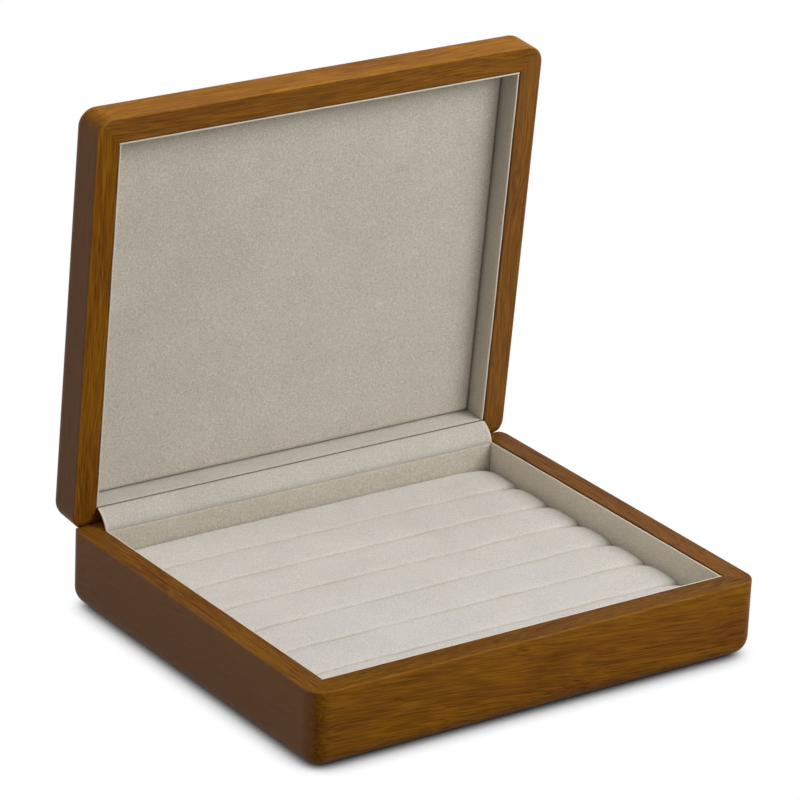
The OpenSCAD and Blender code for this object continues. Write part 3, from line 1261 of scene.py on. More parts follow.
    def inner_lines(self, side: Side) -> tuple[Points, Points]:
        """The lines over the rim's inner half, down the inner face and round the rebate.

        Args:
            side: The board.

        Returns:
            Lines x places x 3, and how much painted shade each line has along the rim's inner edge.
        """
        edge = np.linspace(0, math.pi / 2, self.inner_points)
        edge_in = self.inner_r * (1 - np.sin(edge))
        edge_up = self.height - self.inner_r * (1 - np.cos(edge))
        insets = [self.inner_r + self.support, *edge_in, 0.0, 0.0, self.rebate, self.rebate]
        rebate_up = [self.rebate_h + self.support, self.rebate_h, self.rebate_h, 0.0]
        up = np.array([self.height, *edge_up, *rebate_up])
        lines = np.stack([self.sharp_row(side, inset) for inset in insets])
        level = np.broadcast_to(up[:, None, None], (*lines.shape[:2], 1))
        # The lines over the inner edge carry painted shade.
        inner_edge_shade = np.concatenate([[0.0], 1 + 0 * edge, np.zeros(len(rebate_up))])
        return np.concatenate([lines, level], axis=-1), inner_edge_shade

    def section_grid(self, side: Side) -> tuple[Points, dict[Mask, Points]]:
        """All points of a board, as lines round its section.

        Args:
            side: The board.

        Returns:
            The grid as places along x points of the section x 3, and each mask at each point.
        """
        inside, up, wear, face = self.outer_section(side)
        inner, inner_edge_shade = self.inner_lines(side)
        grid = np.concatenate([self.outer_lines(side, inside, up), inner]).transpose(1, 0, 2)
        start, _, end = self.steps_along()
        kept = 1 - self.corner_fade * np.maximum(start, end)[:, None] ** 2
        even = np.ones_like(kept)
        masks = {
            Mask.WEAR: even * np.concatenate([wear, 0 * inner_edge_shade]),
            Mask.FACE: kept * np.concatenate([face, 0 * inner_edge_shade]),
            Mask.POOL: even * np.concatenate([0 * wear, inner_edge_shade]),
        }
        return self.place(grid), masks

    def build(self, groups: NodeGroups, finish: WoodFinish) -> None:
        """Makes, dresses and places the four boards.

        Args:
            groups: The shared node groups.
            finish: The wood.
        """
        for number, side in enumerate(Side):
            node = f"{self.prefix}_{side.word}_{self.suffix}"
            grid, masks = self.section_grid(side)
            piece = swept_mesh(f"{node}_wood", grid, Crease.FINE)
            for mask, values in masks.items():
                mask.put(piece, values)
            grain = Grain.ALONG_X if side in (Side.FRONT, Side.BACK) else Grain.ALONG_Y
            cut = self.cut_pitch * (number + 1) + self.cut_start
            face = self.faces.get(side, Face())
            word = f"{side.word}_board"
            wood = finish.material(groups, word, grain, self.body == "lid", cut, face)
            stand_in(piece, wood, self.body, node)


@dataclass
class TopPanel:
    """The lid's top panel, let in flush, with eased edges that leave a fine line round it.

    Attributes:
        ease: Radius of its edges.
        line: Width of the line at each side.
        cells: Faces between the edges, along X, Y and Z.
        cut: Where in the wood it was cut.
    """

    ease: float = 0.35 * MM
    line: float = 0.08 * MM
    cells: tuple[int, int, int] = (16, 12, 1)
    cut: float = 2.3

    def build(self, groups: NodeGroups, finish: WoodFinish) -> None:
        """Makes the panel as a box with rounded edges.

        Args:
            groups: The shared node groups.
            finish: The wood.
        """
        span = span_of("lid_top_panel", on_lid=True).grown(x=-self.line, y=-self.line)
        points, faces = rounded_box(span, self.ease, self.cells)
        piece = closed_mesh("lid_top_panel_wood", TURN.opened(points), faces)
        wood = finish.material(groups, "top_panel", Grain.ALONG_X, True, self.cut, Face())
        stand_in(piece, wood, "lid", "lid_top_panel")


# Soft goods


@dataclass
class LiningBoard:
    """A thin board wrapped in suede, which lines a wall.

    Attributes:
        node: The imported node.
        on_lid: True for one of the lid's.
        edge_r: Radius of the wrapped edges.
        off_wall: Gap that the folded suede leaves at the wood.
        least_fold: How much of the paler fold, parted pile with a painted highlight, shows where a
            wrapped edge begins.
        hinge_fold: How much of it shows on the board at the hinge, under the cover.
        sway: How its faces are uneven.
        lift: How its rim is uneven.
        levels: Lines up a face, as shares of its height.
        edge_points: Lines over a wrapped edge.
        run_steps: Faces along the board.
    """

    node: str
    on_lid: bool
    edge_r: float = 0.45 * MM
    off_wall: float = 0.12 * MM
    least_fold: float = 0.2
    hinge_fold: float = 0.35
    sway: Wave = Wave((37 * MM, 23 * MM, 90 * MM), 0.06 * MM)
    lift: Wave = Wave((51 * MM, 29 * MM), 0.05 * MM)
    levels: tuple[float, ...] = (0.0, 0.3, 0.6, 0.85)
    edge_points: int = 6
    run_steps: int = 90

    def section(self, thick: float, tall: float) -> tuple[Points, Points]:
        """The board's section, from the hidden edge up one face, over the rim and down the other.

        Args:
            thick: Its thickness.
            tall: Its height.

        Returns:
            Points across and up, measured from the middle of the hidden edge, and the mask of the
            paler fold with its painted highlight.
        """
        arc = np.linspace(0, math.pi / 2, self.edge_points)
        half, r = thick / 2, self.edge_r
        up = np.array(self.levels) * (tall - r)
        face = np.stack([np.full_like(up, -half), up, 0 * up], axis=-1)
        fold = self.least_fold + (1 - self.least_fold) * np.sin(arc)
        across = -half + r * (1 - np.cos(arc))
        edge = np.stack([across, tall - r + r * np.sin(arc), fold], axis=-1)
        line = np.concatenate([face, edge])
        both = np.concatenate([line, line[::-1] * np.array([-1, 1, 1])])
        return both[:, :2], both[:, 2]

    def build(self, material: Material, slot: str) -> None:
        """Makes the board as its section swept along it, with slightly uneven faces and rim.

        Args:
            material: The suede.
            slot: The record's slot. Not used.
        """
        span = span_of(self.node, self.on_lid)
        seed = sum(map(ord, self.node))
        thin = int(np.argmin(span.size))
        run = 1 - thin
        section, fold = self.section(span.size[thin] - 2 * self.off_wall, span.size[2])
        places = np.linspace(span.lo[run], span.hi[run], self.run_steps + 1)
        grid = np.empty((len(places), len(section), 3))
        grid[..., run] = places[:, None]
        sway = self.sway.along(places, seed)
        lift = self.lift.along(places, seed + 1)
        grid[..., thin] = span.middle[thin] + section[:, 0] + sway[:, None]
        rise = section[:, 1] + lift[:, None] * (section[:, 1] > span.size[2] / 2)
        grid[..., 2] = span.hi[2] - rise if self.on_lid else span.lo[2] + rise
        if self.on_lid:
            grid = TURN.opened(grid)
        piece = swept_mesh(f"{self.node}_suede", grid)
        # Paler fold over the wrapped edges: parted pile with a painted highlight.
        share = self.hinge_fold if "back" in self.node else 1.0
        Mask.FOLD.put(piece, np.tile(fold * share, len(places)))
        stand_in(piece, material, "lid" if self.on_lid else "base", self.node)


@dataclass
class RingRolls:
    """Seven padded rolls side by side, which hold rings in the creases between them.

    Attributes:
        count: Number of rolls.
        gap: Gap in a crease.
        crown: Height of the rounded part.
        power: Power of the superellipse that the crown follows.
        deep_crown: Height of the rounded part where the rolls grow rounder, near an end.
        end_power: The power there.
        end_reach: How far from the end the rolls grow rounder.
        end: Length of the rounded ends.
        end_crown: Height of the rounded part at the end itself.
        end_drop: How far the crown comes down at an end.
        side_draw: How far the sides draw in at an end.
        wander: How a crease wanders.
        calm_power: Power that keeps a crease straight near its ends.
        swell: How a roll's top rises and falls.
        front_pucker: The small puckers along the front crease.
        back_pucker: The small puckers along the back crease.
        pucker_reach: How far a pucker reaches over the crown, as a share of half of it.
        drawn_width: Width of the painted shade along a crease, as a share of half the crown.
        drawn_power: Power with which it fades.
        drawn_share: How much of it shows.
        drawn_change: How that share changes along the crease.
        end_steps: Faces along a rounded end.
        run_steps: Faces along the rest.
        crown_steps: Faces over the crown.
    """

    count: int = 7
    gap: float = 0.2 * MM
    crown: float = 2.3 * MM
    power: float = 5.5
    deep_crown: float = 5.2 * MM
    end_power: float = 3.0
    end_reach: float = 15.0 * MM
    end: float = 9.0 * MM
    end_crown: float = 2.4 * MM
    end_drop: float = 3.2 * MM
    side_draw: float = 2.8 * MM
    wander: Wave = Wave((61 * MM, 97 * MM, 33 * MM, 17 * MM), 0.5 * MM)
    calm_power: float = 6
    swell: Wave = Wave((83 * MM, 47 * MM), 0.12 * MM)
    front_pucker: Wave = Wave((5.3 * MM, 3.7 * MM, 8.9 * MM, 13 * MM), 0.16 * MM)
    back_pucker: Wave = Wave((4.7 * MM, 3.1 * MM, 7.7 * MM, 15 * MM), 0.16 * MM)
    pucker_reach: float = 0.16
    drawn_width: float = 0.09
    drawn_power: float = 1.5
    drawn_share: float = 0.75
    drawn_change: Wave = Wave((9.1 * MM, 5.3 * MM, 27 * MM), 0.25)
    end_steps: int = 14
    run_steps: int = 110
    crown_steps: int = 40

    def stations(self, half: float) -> tuple[Points, Points]:
        """Places along a roll and how far each is into an end's fall.

        Over an end both follow a quarter of an ellipse, so the sections crowd where it is steep.

        Args:
            half: Half of a roll's length.

        Returns:
            The places along X and the share of the fall.
        """
        a = np.linspace(0, math.pi / 2, self.end_steps + 1)
        x = places_along(-half, half, self.end * (1 - np.cos(a)), self.run_steps)
        fall = 1 - np.sin(a)
        return x, np.concatenate([fall, np.zeros(self.run_steps - 1), fall[::-1]])

    def crease(self, number: int, x: Points, half: float, y: float) -> Points:
        """The path of a crease, which wanders between the ends; the outer two are straight.

        Args:
            number: The crease, counted from the front.
            x: Places along it.
            half: Half of a roll's length.
            y: Its place if it were straight.

        Returns:
            Its place in Y at each place along it.
        """
        if number in (0, self.count):
            return np.full_like(x, y)
        calm = 1 - (np.abs(x) / half) ** self.calm_power
        return y + calm * self.wander.along(x, Seed.CREASE + number)

    def surface(self, number: int, span: Span) -> tuple[Points, Points]:
        """A roll as a grid of sections.

        Each section is flat below, upright at the sides and a superellipse over the crown. Near an
        end the crown is deeper and rounder, by a bell of the distance from the end, and over the
        end itself it comes down and the sides draw in. Small puckers fade away from the creases.

        Args:
            number: The roll, counted from the front.
            span: The room for all the rolls.

        Returns:
            Sections x points x 3, and the mask of the painted shade along the creases.
        """
        half = span.size[0] / 2
        pitch = span.size[1] / self.count
        x, fall = self.stations(half)
        front, back = (
            self.crease(n, x, half, span.lo[1] + pitch * n) for n in (number - 1, number)
        )
        front, back = front + self.gap / 2, back - self.gap / 2
        middle, reach = (front + back) / 2, (back - front) / 2 - self.side_draw * fall
        tall = span.size[2] + self.swell.along(x, Seed.ROLL_TOP + number) - self.swell.height
        top = tall - self.end_drop * fall
        at_end = np.exp(-(((half - np.abs(x)) / self.end_reach) ** 2))
        crown = self.crown + (self.deep_crown - self.crown) * at_end
        crown = crown + (self.end_crown - crown) * fall
        a = np.linspace(math.pi, 0, self.crown_steps + 1)[None, :]
        power = (self.power + (self.end_power - self.power) * at_end)[:, None]
        across = np.sign(np.cos(a)) * np.abs(np.cos(a)) ** (2 / power)
        up = np.abs(np.sin(a)) ** (2 / power)
        y = middle[:, None] + reach[:, None] * across
        z = (top - crown)[:, None] + crown[:, None] * up
        near = np.exp(-(((1 - np.abs(across)) / self.pucker_reach) ** 2)) * up
        in_front = self.front_pucker.along(x, Seed.FRONT_PUCKER + number)[:, None]
        behind = self.back_pucker.along(x, Seed.BACK_PUCKER + number)[:, None]
        z = z + near * np.where(across < 0, in_front, behind) * (1 - fall)[:, None]
        floor = np.zeros((len(x), 1))
        y = np.concatenate([y[:, :1], y, y[:, -1:]], axis=1)
        z = np.concatenate([floor, z, floor], axis=1)
        grid = np.stack([np.broadcast_to(x[:, None], y.shape), y, span.lo[2] + z], axis=-1)
        # Painted shade along the creases, fading over the crown.
        into = (np.abs(across) - (1 - self.drawn_width)) / self.drawn_width
        share = self.drawn_share + self.drawn_change.along(x, Seed.DRAWN + number)
        crease_shade = np.clip(into, 0, 1) ** self.drawn_power * share[:, None]
        return grid, np.concatenate([crease_shade[:, :1], crease_shade, crease_shade[:, -1:]], axis=1)

    def build(self, material: Material, slot: str) -> None:
        """Makes, dresses and places the rolls.

        Args:
            material: The suede.
            slot: The record's slot. Not used.
        """
        spans = [span_of(f"ring_roll_{k}") for k in range(1, self.count + 1)]
        room = Span(spans[0].lo, spans[-1].hi).grown(y=self.gap / 2)
        for number in range(1, self.count + 1):
            node = f"ring_roll_{number}"
            grid, crease_shade = self.surface(number, room)
            piece = swept_mesh(f"{node}_suede", grid, Crease.SOFT)
            # Painted shade in the creases.
            Mask.FOLD.put(piece, crease_shade)
            stand_in(piece, material, "base", node)


@dataclass
class LidPad:
    """The padded panel in the lid: a face that rolls over at its edges on a flat back.

    Attributes:
        roll: Width over which the face comes up from its edge.
        edge: Thickness at the edge.
        power: Power of the superellipse that rounds the corners.
        uneven: Height of the low swells over the face.
        wide_swell: Swells along the width.
        wide_slant: How far they lean towards the depth.
        tall_swell: Swells along the depth.
        tall_slant: How far they lean towards the width.
        edge_steps: Faces over an edge.
        cells: Faces between the edges, along the width and the depth.
    """

    roll: float = 2.5 * MM
    edge: float = 0.8 * MM
    power: float = 3.0
    uneven: float = 0.10 * MM
    wide_swell: Wave = Wave((71 * MM, 113 * MM), 1.0)
    wide_slant: float = 0.6
    tall_swell: Wave = Wave((89 * MM, 59 * MM), 1.0)
    tall_slant: float = -0.4
    edge_steps: int = 9
    cells: tuple[int, int] = (70, 58)

    def face(self, span: Span) -> Points:
        """The padded face with the lid closed.

        Its height over the back is a quarter of an ellipse of the distance from the edge, and the
        distances from two edges add up as in a superellipse near a corner.

        Args:
            span: The pad's box.

        Returns:
            Rows x columns x 3.
        """
        near = self.roll * (1 - np.cos(np.linspace(0, math.pi / 2, self.edge_steps + 1)))
        x = places_along(span.lo[0], span.hi[0], near, self.cells[0])[:, None]
        y = places_along(span.lo[1], span.hi[1], near, self.cells[1])[None, :]
        dx = np.clip(1 - np.minimum(x - span.lo[0], span.hi[0] - x) / self.roll, 0, 1)
        dy = np.clip(1 - np.minimum(y - span.lo[1], span.hi[1] - y) / self.roll, 0, 1)
        out = np.clip((dx**self.power + dy**self.power) ** (1 / self.power), 0, 1)
        rise = np.sqrt(1 - out**2)
        swell = self.wide_swell.along(x + self.wide_slant * y, Seed.PAD_WIDE)
        swell = swell * self.tall_swell.along(y + self.tall_slant * x, Seed.PAD_TALL)
        thick = self.edge + (span.size[2] - self.edge - self.uneven * (1 - swell) / 2) * rise
        return np.stack([x + 0 * y, y + 0 * x, span.hi[2] - thick], axis=-1)

    def build(self, material: Material, slot: str) -> None:
        """Makes the pad from its face, its flat back and the sides between them.

        Args:
            material: The suede.
            slot: The record's slot. Not used.
        """
        span = span_of("lid_pad", on_lid=True)
        face = self.face(span)
        rows, columns = face.shape[:2]
        back = face.copy()
        back[..., 2] = span.hi[2]
        count = rows * columns
        numbers = np.arange(count).reshape(rows, columns)
        first, last = numbers[0], numbers[-1, -2::-1]
        ring = np.concatenate([first, numbers[1:, -1], last, numbers[-2:0:-1, 0]])
        after = np.roll(ring, -1)
        sides = np.stack([ring, after, after + count, ring + count], axis=-1)
        quads = grid_faces(rows, columns)
        faces = np.concatenate([quads[:, ::-1], quads + count, sides[:, ::-1]])
        points = TURN.opened(np.concatenate([face.reshape(-1, 3), back.reshape(-1, 3)]))
        piece = closed_mesh("lid_pad_suede", points, faces.tolist(), Crease.SOFT)
        stand_in(piece, material, "lid", "lid_pad")


@dataclass
class HingeCover:
    """The strip of suede that bends over the hinge line, from the base's lining to the lid's.

    Attributes:
        radius: Radius of its bend.
        thick: Its thickness.
        centre_in: Distance of the bend's centre from the back of the box.
        centre_down: Distance of the bend's centre below the base's rim.
        first: Angle of its lower edge, from the front upwards.
        last: Angle of its upper edge.
        edge_r: Radius of its cut edges.
        low_tuck: How far its lower edge dips behind the base's lining.
        high_tuck: How far its upper edge dips in front of the lid's lining.
        tuck_length: Length over which they dip.
        corner_cut: How far its upper corners are cut in, beside the lid's lining.
        cut_length: Length of the cut corners.
        hem: How far the hem at each end stands up.
        hem_width: Width of the hem.
        slack: How the suede is uneven along the strip.
        high_seam: Width of the painted shade at the upper edge, where the strip goes in under the
            lid's lining.
        low_seam: Width of the painted shade at the lower edge, above the base's lining.
        low_share: How dark the lower painted shade is beside the upper one.
        cells: Faces along the strip, round its bend and through it.
    """

    radius: float = 13.2 * MM
    thick: float = 0.5 * MM
    centre_in: float = 0.15 * MM
    centre_down: float = 4.3 * MM
    first: float = math.radians(15)
    last: float = math.radians(73)
    edge_r: float = 0.2 * MM
    low_tuck: float = 0.08 * MM
    high_tuck: float = 0.15 * MM
    tuck_length: float = 1.2 * MM
    corner_cut: float = 1.1 * MM
    cut_length: float = 1.5 * MM
    hem: float = 0.22 * MM
    hem_width: float = 1.1 * MM
    slack: Wave = Wave((64 * MM, 39 * MM, 101 * MM), 0.12 * MM)
    high_seam: float = 1.4 * MM
    low_seam: float = 2.6 * MM
    low_share: float = 0.3
    cells: tuple[int, int, int] = (160, 22, 1)

    def tuck(self, along: Points, length: float) -> Points:
        """How far the strip dips behind a lining: a square of the way into the tuck.

        Args:
            along: Distance from the lower edge.
            length: Distance from the lower edge to the upper one.

        Returns:
            The dip at each point.
        """
        low = np.clip(1 - along / self.tuck_length, 0, 1) ** 2
        high = np.clip(1 - (length - along) / self.tuck_length, 0, 1) ** 2
        return self.low_tuck * low + self.high_tuck * high

    def bent(self, x: Points | float, reach: Points | float, angle: Points | float) -> Points:
        """The place at a distance from the bend's centre line, at an angle from the front.

        Args:
            x: Place along the strip.
            reach: Distance from the centre line.
            angle: Angle in radians.

        Returns:
            The place, in the last axis.
        """
        back = span_of("base_back_wall").hi[1]
        rim = span_of("base_front_wall").hi[2]
        y = back - self.centre_in - reach * np.cos(angle)
        z = rim - self.centre_down + reach * np.sin(angle)
        return np.stack([x, y, z], axis=-1)

    def build(self, material: Material, slot: str) -> None:
        """Makes the strip flat and bends it.

        Args:
            material: The suede.
            slot: The record's slot. Not used.
        """
        half = span_of("hinge_cover").hi[0]
        length = self.radius * (self.last - self.first)
        flat = Span(np.array([-half, 0.0, 0.0]), np.array([half, length, self.thick]))
        points, faces = rounded_box(flat, self.edge_r, self.cells)
        x, along, out = points.T
        bulge = np.sin(math.pi * along / length)
        slack = self.slack.along(x, Seed.COVER) * bulge
        cut = self.corner_cut * np.clip(1 - (length - along) / self.cut_length, 0, 1)
        x = x * (1 - cut / half)
        near_end = np.exp(-(((half - np.abs(x)) / self.hem_width) ** 2))
        hem = self.hem * near_end * (out > self.thick / 2) * bulge
        reach = self.radius - self.thick + out + slack - self.tuck(along, length) + hem
        points = self.bent(x, reach, self.first + along / self.radius)
        piece = closed_mesh("hinge_cover_suede", points, faces)
        # Paler hem at the two ends: parted pile with a painted highlight.
        Mask.FOLD.put(piece, near_end**3)
        # Painted shade at the strip's two edges, where it goes in under the linings.
        high = np.clip(2 - 2 * (length - along) / self.high_seam, 0, 1)
        low = np.clip(1 - along / self.low_seam, 0, 1)
        Mask.SEAM.put(piece, np.maximum(high, self.low_share * low))
        dress(piece, material)
        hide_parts("hinge_cover")
        start, end = (
            tuple(self.bent(0.0, self.radius, angle).tolist()) for angle in (self.first, self.last)
        )
        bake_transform(piece)
        log.info("%s: %d faces, between base and lid", piece.name, len(piece.data.polygons))


# Studio


def axes_matrix(right: Points, back: Points, place: Points) -> list[list[float]]:
    """The world matrix of a camera or a lamp.

    Args:
        right: Unit vector to the right in its view.
        back: Unit vector away from what it looks at.
        place: Its place.

    Returns:
        The matrix, column by column.
    """
    matrix = np.eye(4)
    matrix[:3] = np.stack([right, np.cross(back, right), back, place], axis=-1)
    return matrix.T.tolist()


@dataclass(frozen=True)
class PhotoCamera:
    """The camera at the photograph's place, solved from the box's edges.

    Attributes:
        azimuth: Angle of the camera round the box, from -Y towards +X.
        elevation: Angle above the floor.
        roll: Turn about its own axis.
        distance: Distance from the target.
        target: The point at the middle of the picture.
        lens: Focal length in millimetres.
        sensor: Width of the sensor in millimetres.
        clip: The nearest and the farthest distance that it sees.
    """

    azimuth: float = math.radians(-35.471)
    elevation: float = 0.387161
    roll: float = 0.044667
    distance: float = 2083.97 * MM
    target: tuple[float, float, float] = (17.455 * MM, 39.305 * MM, 94.765 * MM)
    lens: float = 206.03
    sensor: float = 36.0
    clip: tuple[float, float] = (0.05, 20.0)

    def build(self) -> None:
        """Makes the camera, rolled about its axis, and makes it the scene's."""
        a, e = self.azimuth, self.elevation
        back = np.array([math.sin(a) * math.cos(e), -math.cos(a) * math.cos(e), math.sin(e)])
        level = np.cross([0, 0, 1], back)
        level /= np.linalg.norm(level)
        right = math.cos(self.roll) * level + math.sin(self.roll) * np.cross(back, level)
        data = bpy.data.cameras.new("photo_camera")
        data.lens = self.lens
        data.sensor_width = self.sensor
        data.clip_start, data.clip_end = self.clip
        camera = add_object("photo_camera", data)
        camera.matrix_world = axes_matrix(right, back, self.target + self.distance * back)
        bpy.context.scene.camera = camera


@dataclass(frozen=True)
class SoftBox:
    """A square soft light that looks at the middle of the box.

    Attributes:
        name: Its name.
        place: Its centre.
        size: Length of its sides.
        power: Its power in watts.
        aim: The point that it looks at.
        upright: The way its upper side points, as nearly as it can.
    """

    name: str
    place: tuple[float, float, float]
    size: float
    power: float
    aim: tuple[float, float, float] = (0.0, 0.0, 80.0 * MM)
    upright: tuple[float, float, float] = (0.0, 1.0, 0.02)

    def build(self) -> None:
        """Makes the light, turned towards the box."""
        data = bpy.data.lights.new(self.name, "AREA")
        data.shape = "SQUARE"
        data.size = self.size
        data.energy = self.power
        away = np.array(self.place) - np.array(self.aim)
        back = away / np.linalg.norm(away)
        right = np.cross(self.upright, back)
        right /= np.linalg.norm(right)
        add_object(self.name, data).matrix_world = axes_matrix(right, back, self.place)


@dataclass(frozen=True)
class Studio:
    """A pale floor under soft light, with a white background.

    Attributes:
        lights: The lamps.
        sky: Strength of the even light from all round.
        floor_colour: Colour of the floor as the box sees it.
        floor_reach: Half of the floor's sides.
        shade_reach: How far from the box the floor shows its contact shadow.
        shade_samples: Rays that measure it.
        shade_ramp: From how little open sky to how much the shadow passes into white.
    """

    lights: tuple[SoftBox, ...] = (
        SoftBox("key_light", (0.60, -0.72, 0.85), 0.75, 11.5),
        SoftBox("side_light", (-0.80, 0.14, 0.95), 0.6, 3.0),
        SoftBox("top_light", (0.0, 0.25, 1.50), 1.2, 1.3),
    )
    sky: float = 0.22
    floor_colour: Colour = rgb(0.40, 0.40, 0.40)
    floor_reach: float = 6.0
    shade_reach: float = 15.0 * MM
    shade_samples: int = 16
    shade_ramp: Ramp = Ramp(0.03, 0.80)

    def seen_share(self, board: NodeBoard) -> Socket:
        """1 for rays from the camera, a mirror or glass, which see the white background.

        Args:
            board: The board that the nodes go on.

        Returns:
            The output.
        """
        rays = board.node("LightPath", {}).outputs
        direct = board.math("ADD", rays["Is Camera Ray"], rays["Is Glossy Ray"])
        return board.math("ADD", direct, rays["Is Transmission Ray"], clamp=True)

    def build_world(self) -> None:
        """Makes an even sky, white where it is seen."""
        world = bpy.data.worlds.new("studio_sky")
        world.use_nodes = True
        board = NodeBoard(world.node_tree)
        inputs = {"Value": self.seen_share(board), "To Min": self.sky, "To Max": 1.0}
        strength = board.node("MapRange", inputs).outputs["Result"]
        sky = world.node_tree.nodes["Background"]
        board.feed(sky, {"Color": rgb(1.0, 1.0, 1.0), "Strength": strength})
        bpy.context.scene.world = world

    def build_floor(self) -> None:
        """Makes the floor: white where it is seen, darker in the box's contact shadow."""
        signs = ((-1, -1), (1, -1), (1, 1), (-1, 1))
        corners = [(x * self.floor_reach, y * self.floor_reach, 0) for x, y in signs]
        mesh = bpy.data.meshes.new("studio_floor")
        mesh.from_pydata(corners, [], [(0, 1, 2, 3)])
        floor = add_object("studio_floor", mesh)
        material = bpy.data.materials.new("studio_floor")
        material.use_nodes = True
        material.node_tree.nodes.clear()
        board = NodeBoard(material.node_tree)
        reach = {"Distance": self.shade_reach}
        sky = board.node("AmbientOcclusion", reach, samples=self.shade_samples).outputs["AO"]
        white = board.node("Emission", {"Strength": board.ramp(sky, self.shade_ramp)}).outputs[0]
        paint = board.node("BsdfDiffuse", {"Color": self.floor_colour}).outputs[0]
        mixed = board.node("MixShader", {0: self.seen_share(board), 1: paint, 2: white})
        board.node("OutputMaterial", {"Surface": mixed.outputs[0]})
        mesh.materials.append(material)

    def build(self) -> None:
        """Makes the sky, the floor and the lamps."""
        self.build_world()
        self.build_floor()
        for light in self.lights:
            light.build()
        bpy.context.scene.view_settings.view_transform = "Standard"


# The box


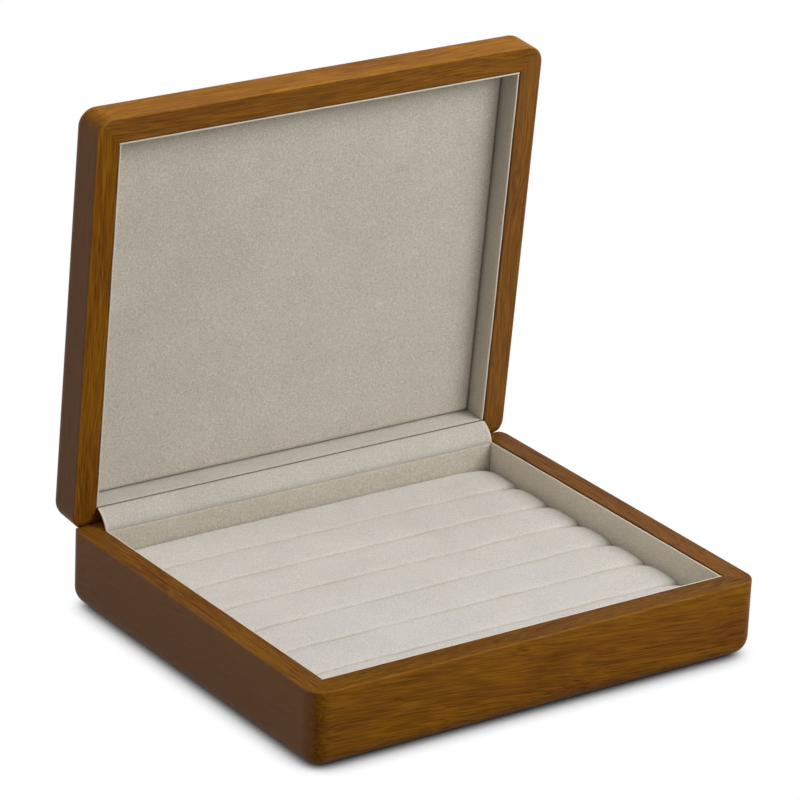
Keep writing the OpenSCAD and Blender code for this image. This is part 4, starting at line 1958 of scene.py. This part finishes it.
@dataclass
class RingBox:
    """The whole box: woodwork, lining, rolls, pad, hinges and hidden boards.

    Attributes:
        groups: The shared node groups.
        base_h: Height of the base's wood.
        lid_far_r: Radius of the edge round the lid's top.
        lid_cut: Where in the wood the lid's rails begin to be cut.
        base_wood: The base's wood.
        lid_wood: The lid's wood.
        lining: The linings' suede.
        brushed: The suede of the base's right lining, painted lighter than the other linings as a
            lit copy, for the light that falls on it.
        pad: The lid pad's suede.
        roll: The rolls' suede.
        cover: The suede of the hinge cover and of the lining above it.
        brass: The hinges' and the screws' brass.
        felt: The underside's felt.
        board: The hidden boards.
    """

    groups: NodeGroups
    base_h: float = 37.2 * MM
    lid_far_r: float = 6.1 * MM
    lid_cut: float = 0.17
    base_wood: WoodFinish = WoodFinish(
        name="base_wood",
        dark=rgb(0.158, 0.050, 0.0080),
        light=rgb(0.266, 0.106, 0.0040),
        worn=rgb(0.42, 0.20, 0.04),
        slot="base_wood",
    )
    lid_wood: WoodFinish = WoodFinish(
        name="lid_wood",
        dark=rgb(0.176, 0.058, 0.0060),
        light=rgb(0.287, 0.115, 0.0050),
        worn=rgb(0.45, 0.22, 0.04),
        slot="lid_wood",
    )
    lining: SuedeFinish = SuedeFinish(
        name="lining_suede",
        colour=rgb(0.60, 0.550, 0.455),
        fleck=rgb(0.36, 0.320, 0.240),
        fleck_share=0.40,
        slot="lining_suede",
    )
    # Painted light: a lighter copy of the lining suede for the base's right lining.
    brushed: SuedeFinish = SuedeFinish(
        name="brushed_suede",
        colour=rgb(0.74, 0.675, 0.560),
        fleck=rgb(0.45, 0.400, 0.300),
        fleck_share=0.40,
        slot="lining_suede",
    )
    pad: SuedeFinish = SuedeFinish(
        name="pad_suede",
        colour=rgb(0.66, 0.615, 0.530),
        fleck=rgb(0.38, 0.340, 0.265),
        fleck_share=0.42,
        slot="pad_suede",
    )
    roll: SuedeFinish = SuedeFinish(
        name="roll_suede",
        colour=rgb(0.700, 0.660, 0.620),
        fleck=rgb(0.56, 0.520, 0.470),
        fleck_share=0.15,
        slot="roll_suede",
        # Darker fold colour: painted shade in the creases between the rolls.
        fold=rgb(0.52, 0.430, 0.335),
    )
    cover: SuedeFinish = SuedeFinish(
        name="cover_suede",
        colour=rgb(0.600, 0.560, 0.500),
        fleck=rgb(0.45, 0.410, 0.350),
        fleck_share=0.30,
        slot="lining_suede",
    )
    brass: BrassFinish = BrassFinish()
    felt: FibreFinish = FibreFinish(
        name="brown_felt",
        dark=rgb(0.030, 0.018, 0.012),
        light=rgb(0.085, 0.055, 0.038),
        fineness=2600,
        depth=0.25 * MM,
        sheen=0.3,
    )
    board: FibreFinish = FibreFinish(
        name="grey_board",
        dark=rgb(0.18, 0.14, 0.10),
        light=rgb(0.34, 0.28, 0.21),
        fineness=1500,
        depth=0.08 * MM,
    )

    @property
    def base_z(self) -> float:
        """Height of the base's lower face over the floor."""
        return span_of("base_front_wall").hi[2] - self.base_h

    def lid_place(self, points: Points) -> Points:
        """Takes x, y and height over the lid's top face to the open lid.

        Args:
            points: The points.

        Returns:
            Their places.
        """
        top = span_of("lid_top_panel", on_lid=True).hi[2]
        closed = points.copy()
        closed[..., 2] = top - points[..., 2]
        return TURN.opened(closed)

    def base_place(self, points: Points) -> Points:
        """Takes x, y and height over the base's lower face to their place."""
        return points + np.array([0.0, 0.0, self.base_z])

    def build_woodwork(self) -> None:
        """Makes the base's and the lid's frames and the top panel."""
        right = span_of("base_right_wall").hi[0]
        half = (right, -span_of("base_front_wall").lo[1])
        walls = dict.fromkeys(Side, right - span_of("base_right_lining").hi[0])
        MitredFrame(
            prefix="base",
            suffix="wall",
            body="base",
            half=half,
            height=self.base_h,
            walls=walls,
            place=self.base_place,
            # Painted light and shade and painted reflection on each side's outer face and rim.
            faces={
                Side.LEFT: Face(tone=0.96, haze=0.30, rim_haze=0.03, rim_tone=0.90, calm=0.85),
                Side.FRONT: Face(rim_tone=0.78, lean=-0.10),
                Side.RIGHT: Face(haze=0.05, rim_haze=0.03, rim_tone=0.92),
            },
            rebate_h=span_of("base_bottom_panel").hi[2] - self.base_z,
        ).build(self.groups, self.base_wood)
        back = half[1] - span_of("lid_back_lining", on_lid=True).hi[1]
        MitredFrame(
            prefix="lid",
            suffix="rail",
            body="lid",
            half=half,
            height=span_of("lid_front_rail", on_lid=True).size[2],
            walls={**walls, Side.BACK: back},
            place=self.lid_place,
            # Painted light and shade and painted reflection on each side's outer face and rim.
            faces={
                Side.LEFT: Face(tone=0.74, haze=0.30, calm=0.8),
                Side.FRONT: Face(tone=1.5, rim_haze=0.06),
                Side.RIGHT: Face(haze=0.12, rim_haze=0.12),
            },
            rebate_h=span_of("lid_top_panel", on_lid=True).size[2],
            cut_start=self.lid_cut,
            far_r=self.lid_far_r,
        ).build(self.groups, self.lid_wood)
        TopPanel().build(self.groups, self.lid_wood)

    def build_soft_goods(self) -> None:
        """Makes the linings, rolls, pad and hinge cover."""
        lining, brushed, pad, roll, cover = (
            finish.material(self.groups)
            for finish in (self.lining, self.brushed, self.pad, self.roll, self.cover)
        )
        # The base's right lining gets the lighter, painted-light copy of the lining suede.
        own = {"base_right_lining": brushed, "lid_back_lining": cover}
        for body in ("base", "lid"):
            for side in Side:
                node = f"{body}_{side.word}_lining"
                LiningBoard(node, body == "lid").build(own.get(node, lining), self.lining.slot)
        RingRolls().build(roll, self.roll.slot)
        LidPad().build(pad, self.pad.slot)
        HingeCover().build(cover, self.cover.slot)

    def dress_hardware(self) -> None:
        """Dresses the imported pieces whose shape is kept: hinges, screws, felt and boards."""
        brass, felt, board = (f.material() for f in (self.brass, self.felt, self.board))
        own = {"underside_felt": felt}
        own.update(dict.fromkeys(("base_bottom_panel", "roll_board", "lid_backing_board"), board))
        for name, node in frame["nodes"].items():
            if "hinge" in name and name != "hinge_cover":
                dress(node, brass)
            elif name in own:
                dress(node, own[name])

    def build(self) -> None:
        """Makes all of it."""
        self.build_woodwork()
        self.build_soft_goods()
        self.dress_hardware()


def main() -> None:
    """Builds the camera, the studio and the box."""
    logging.basicConfig(level=logging.INFO, format="%(name)s: %(message)s")
    PhotoCamera().build()
    Studio().build()
    RingBox(NodeGroups(OpenGrain().group(), SuedeNap().group())).build()


if __name__ == "__main__":
    main()
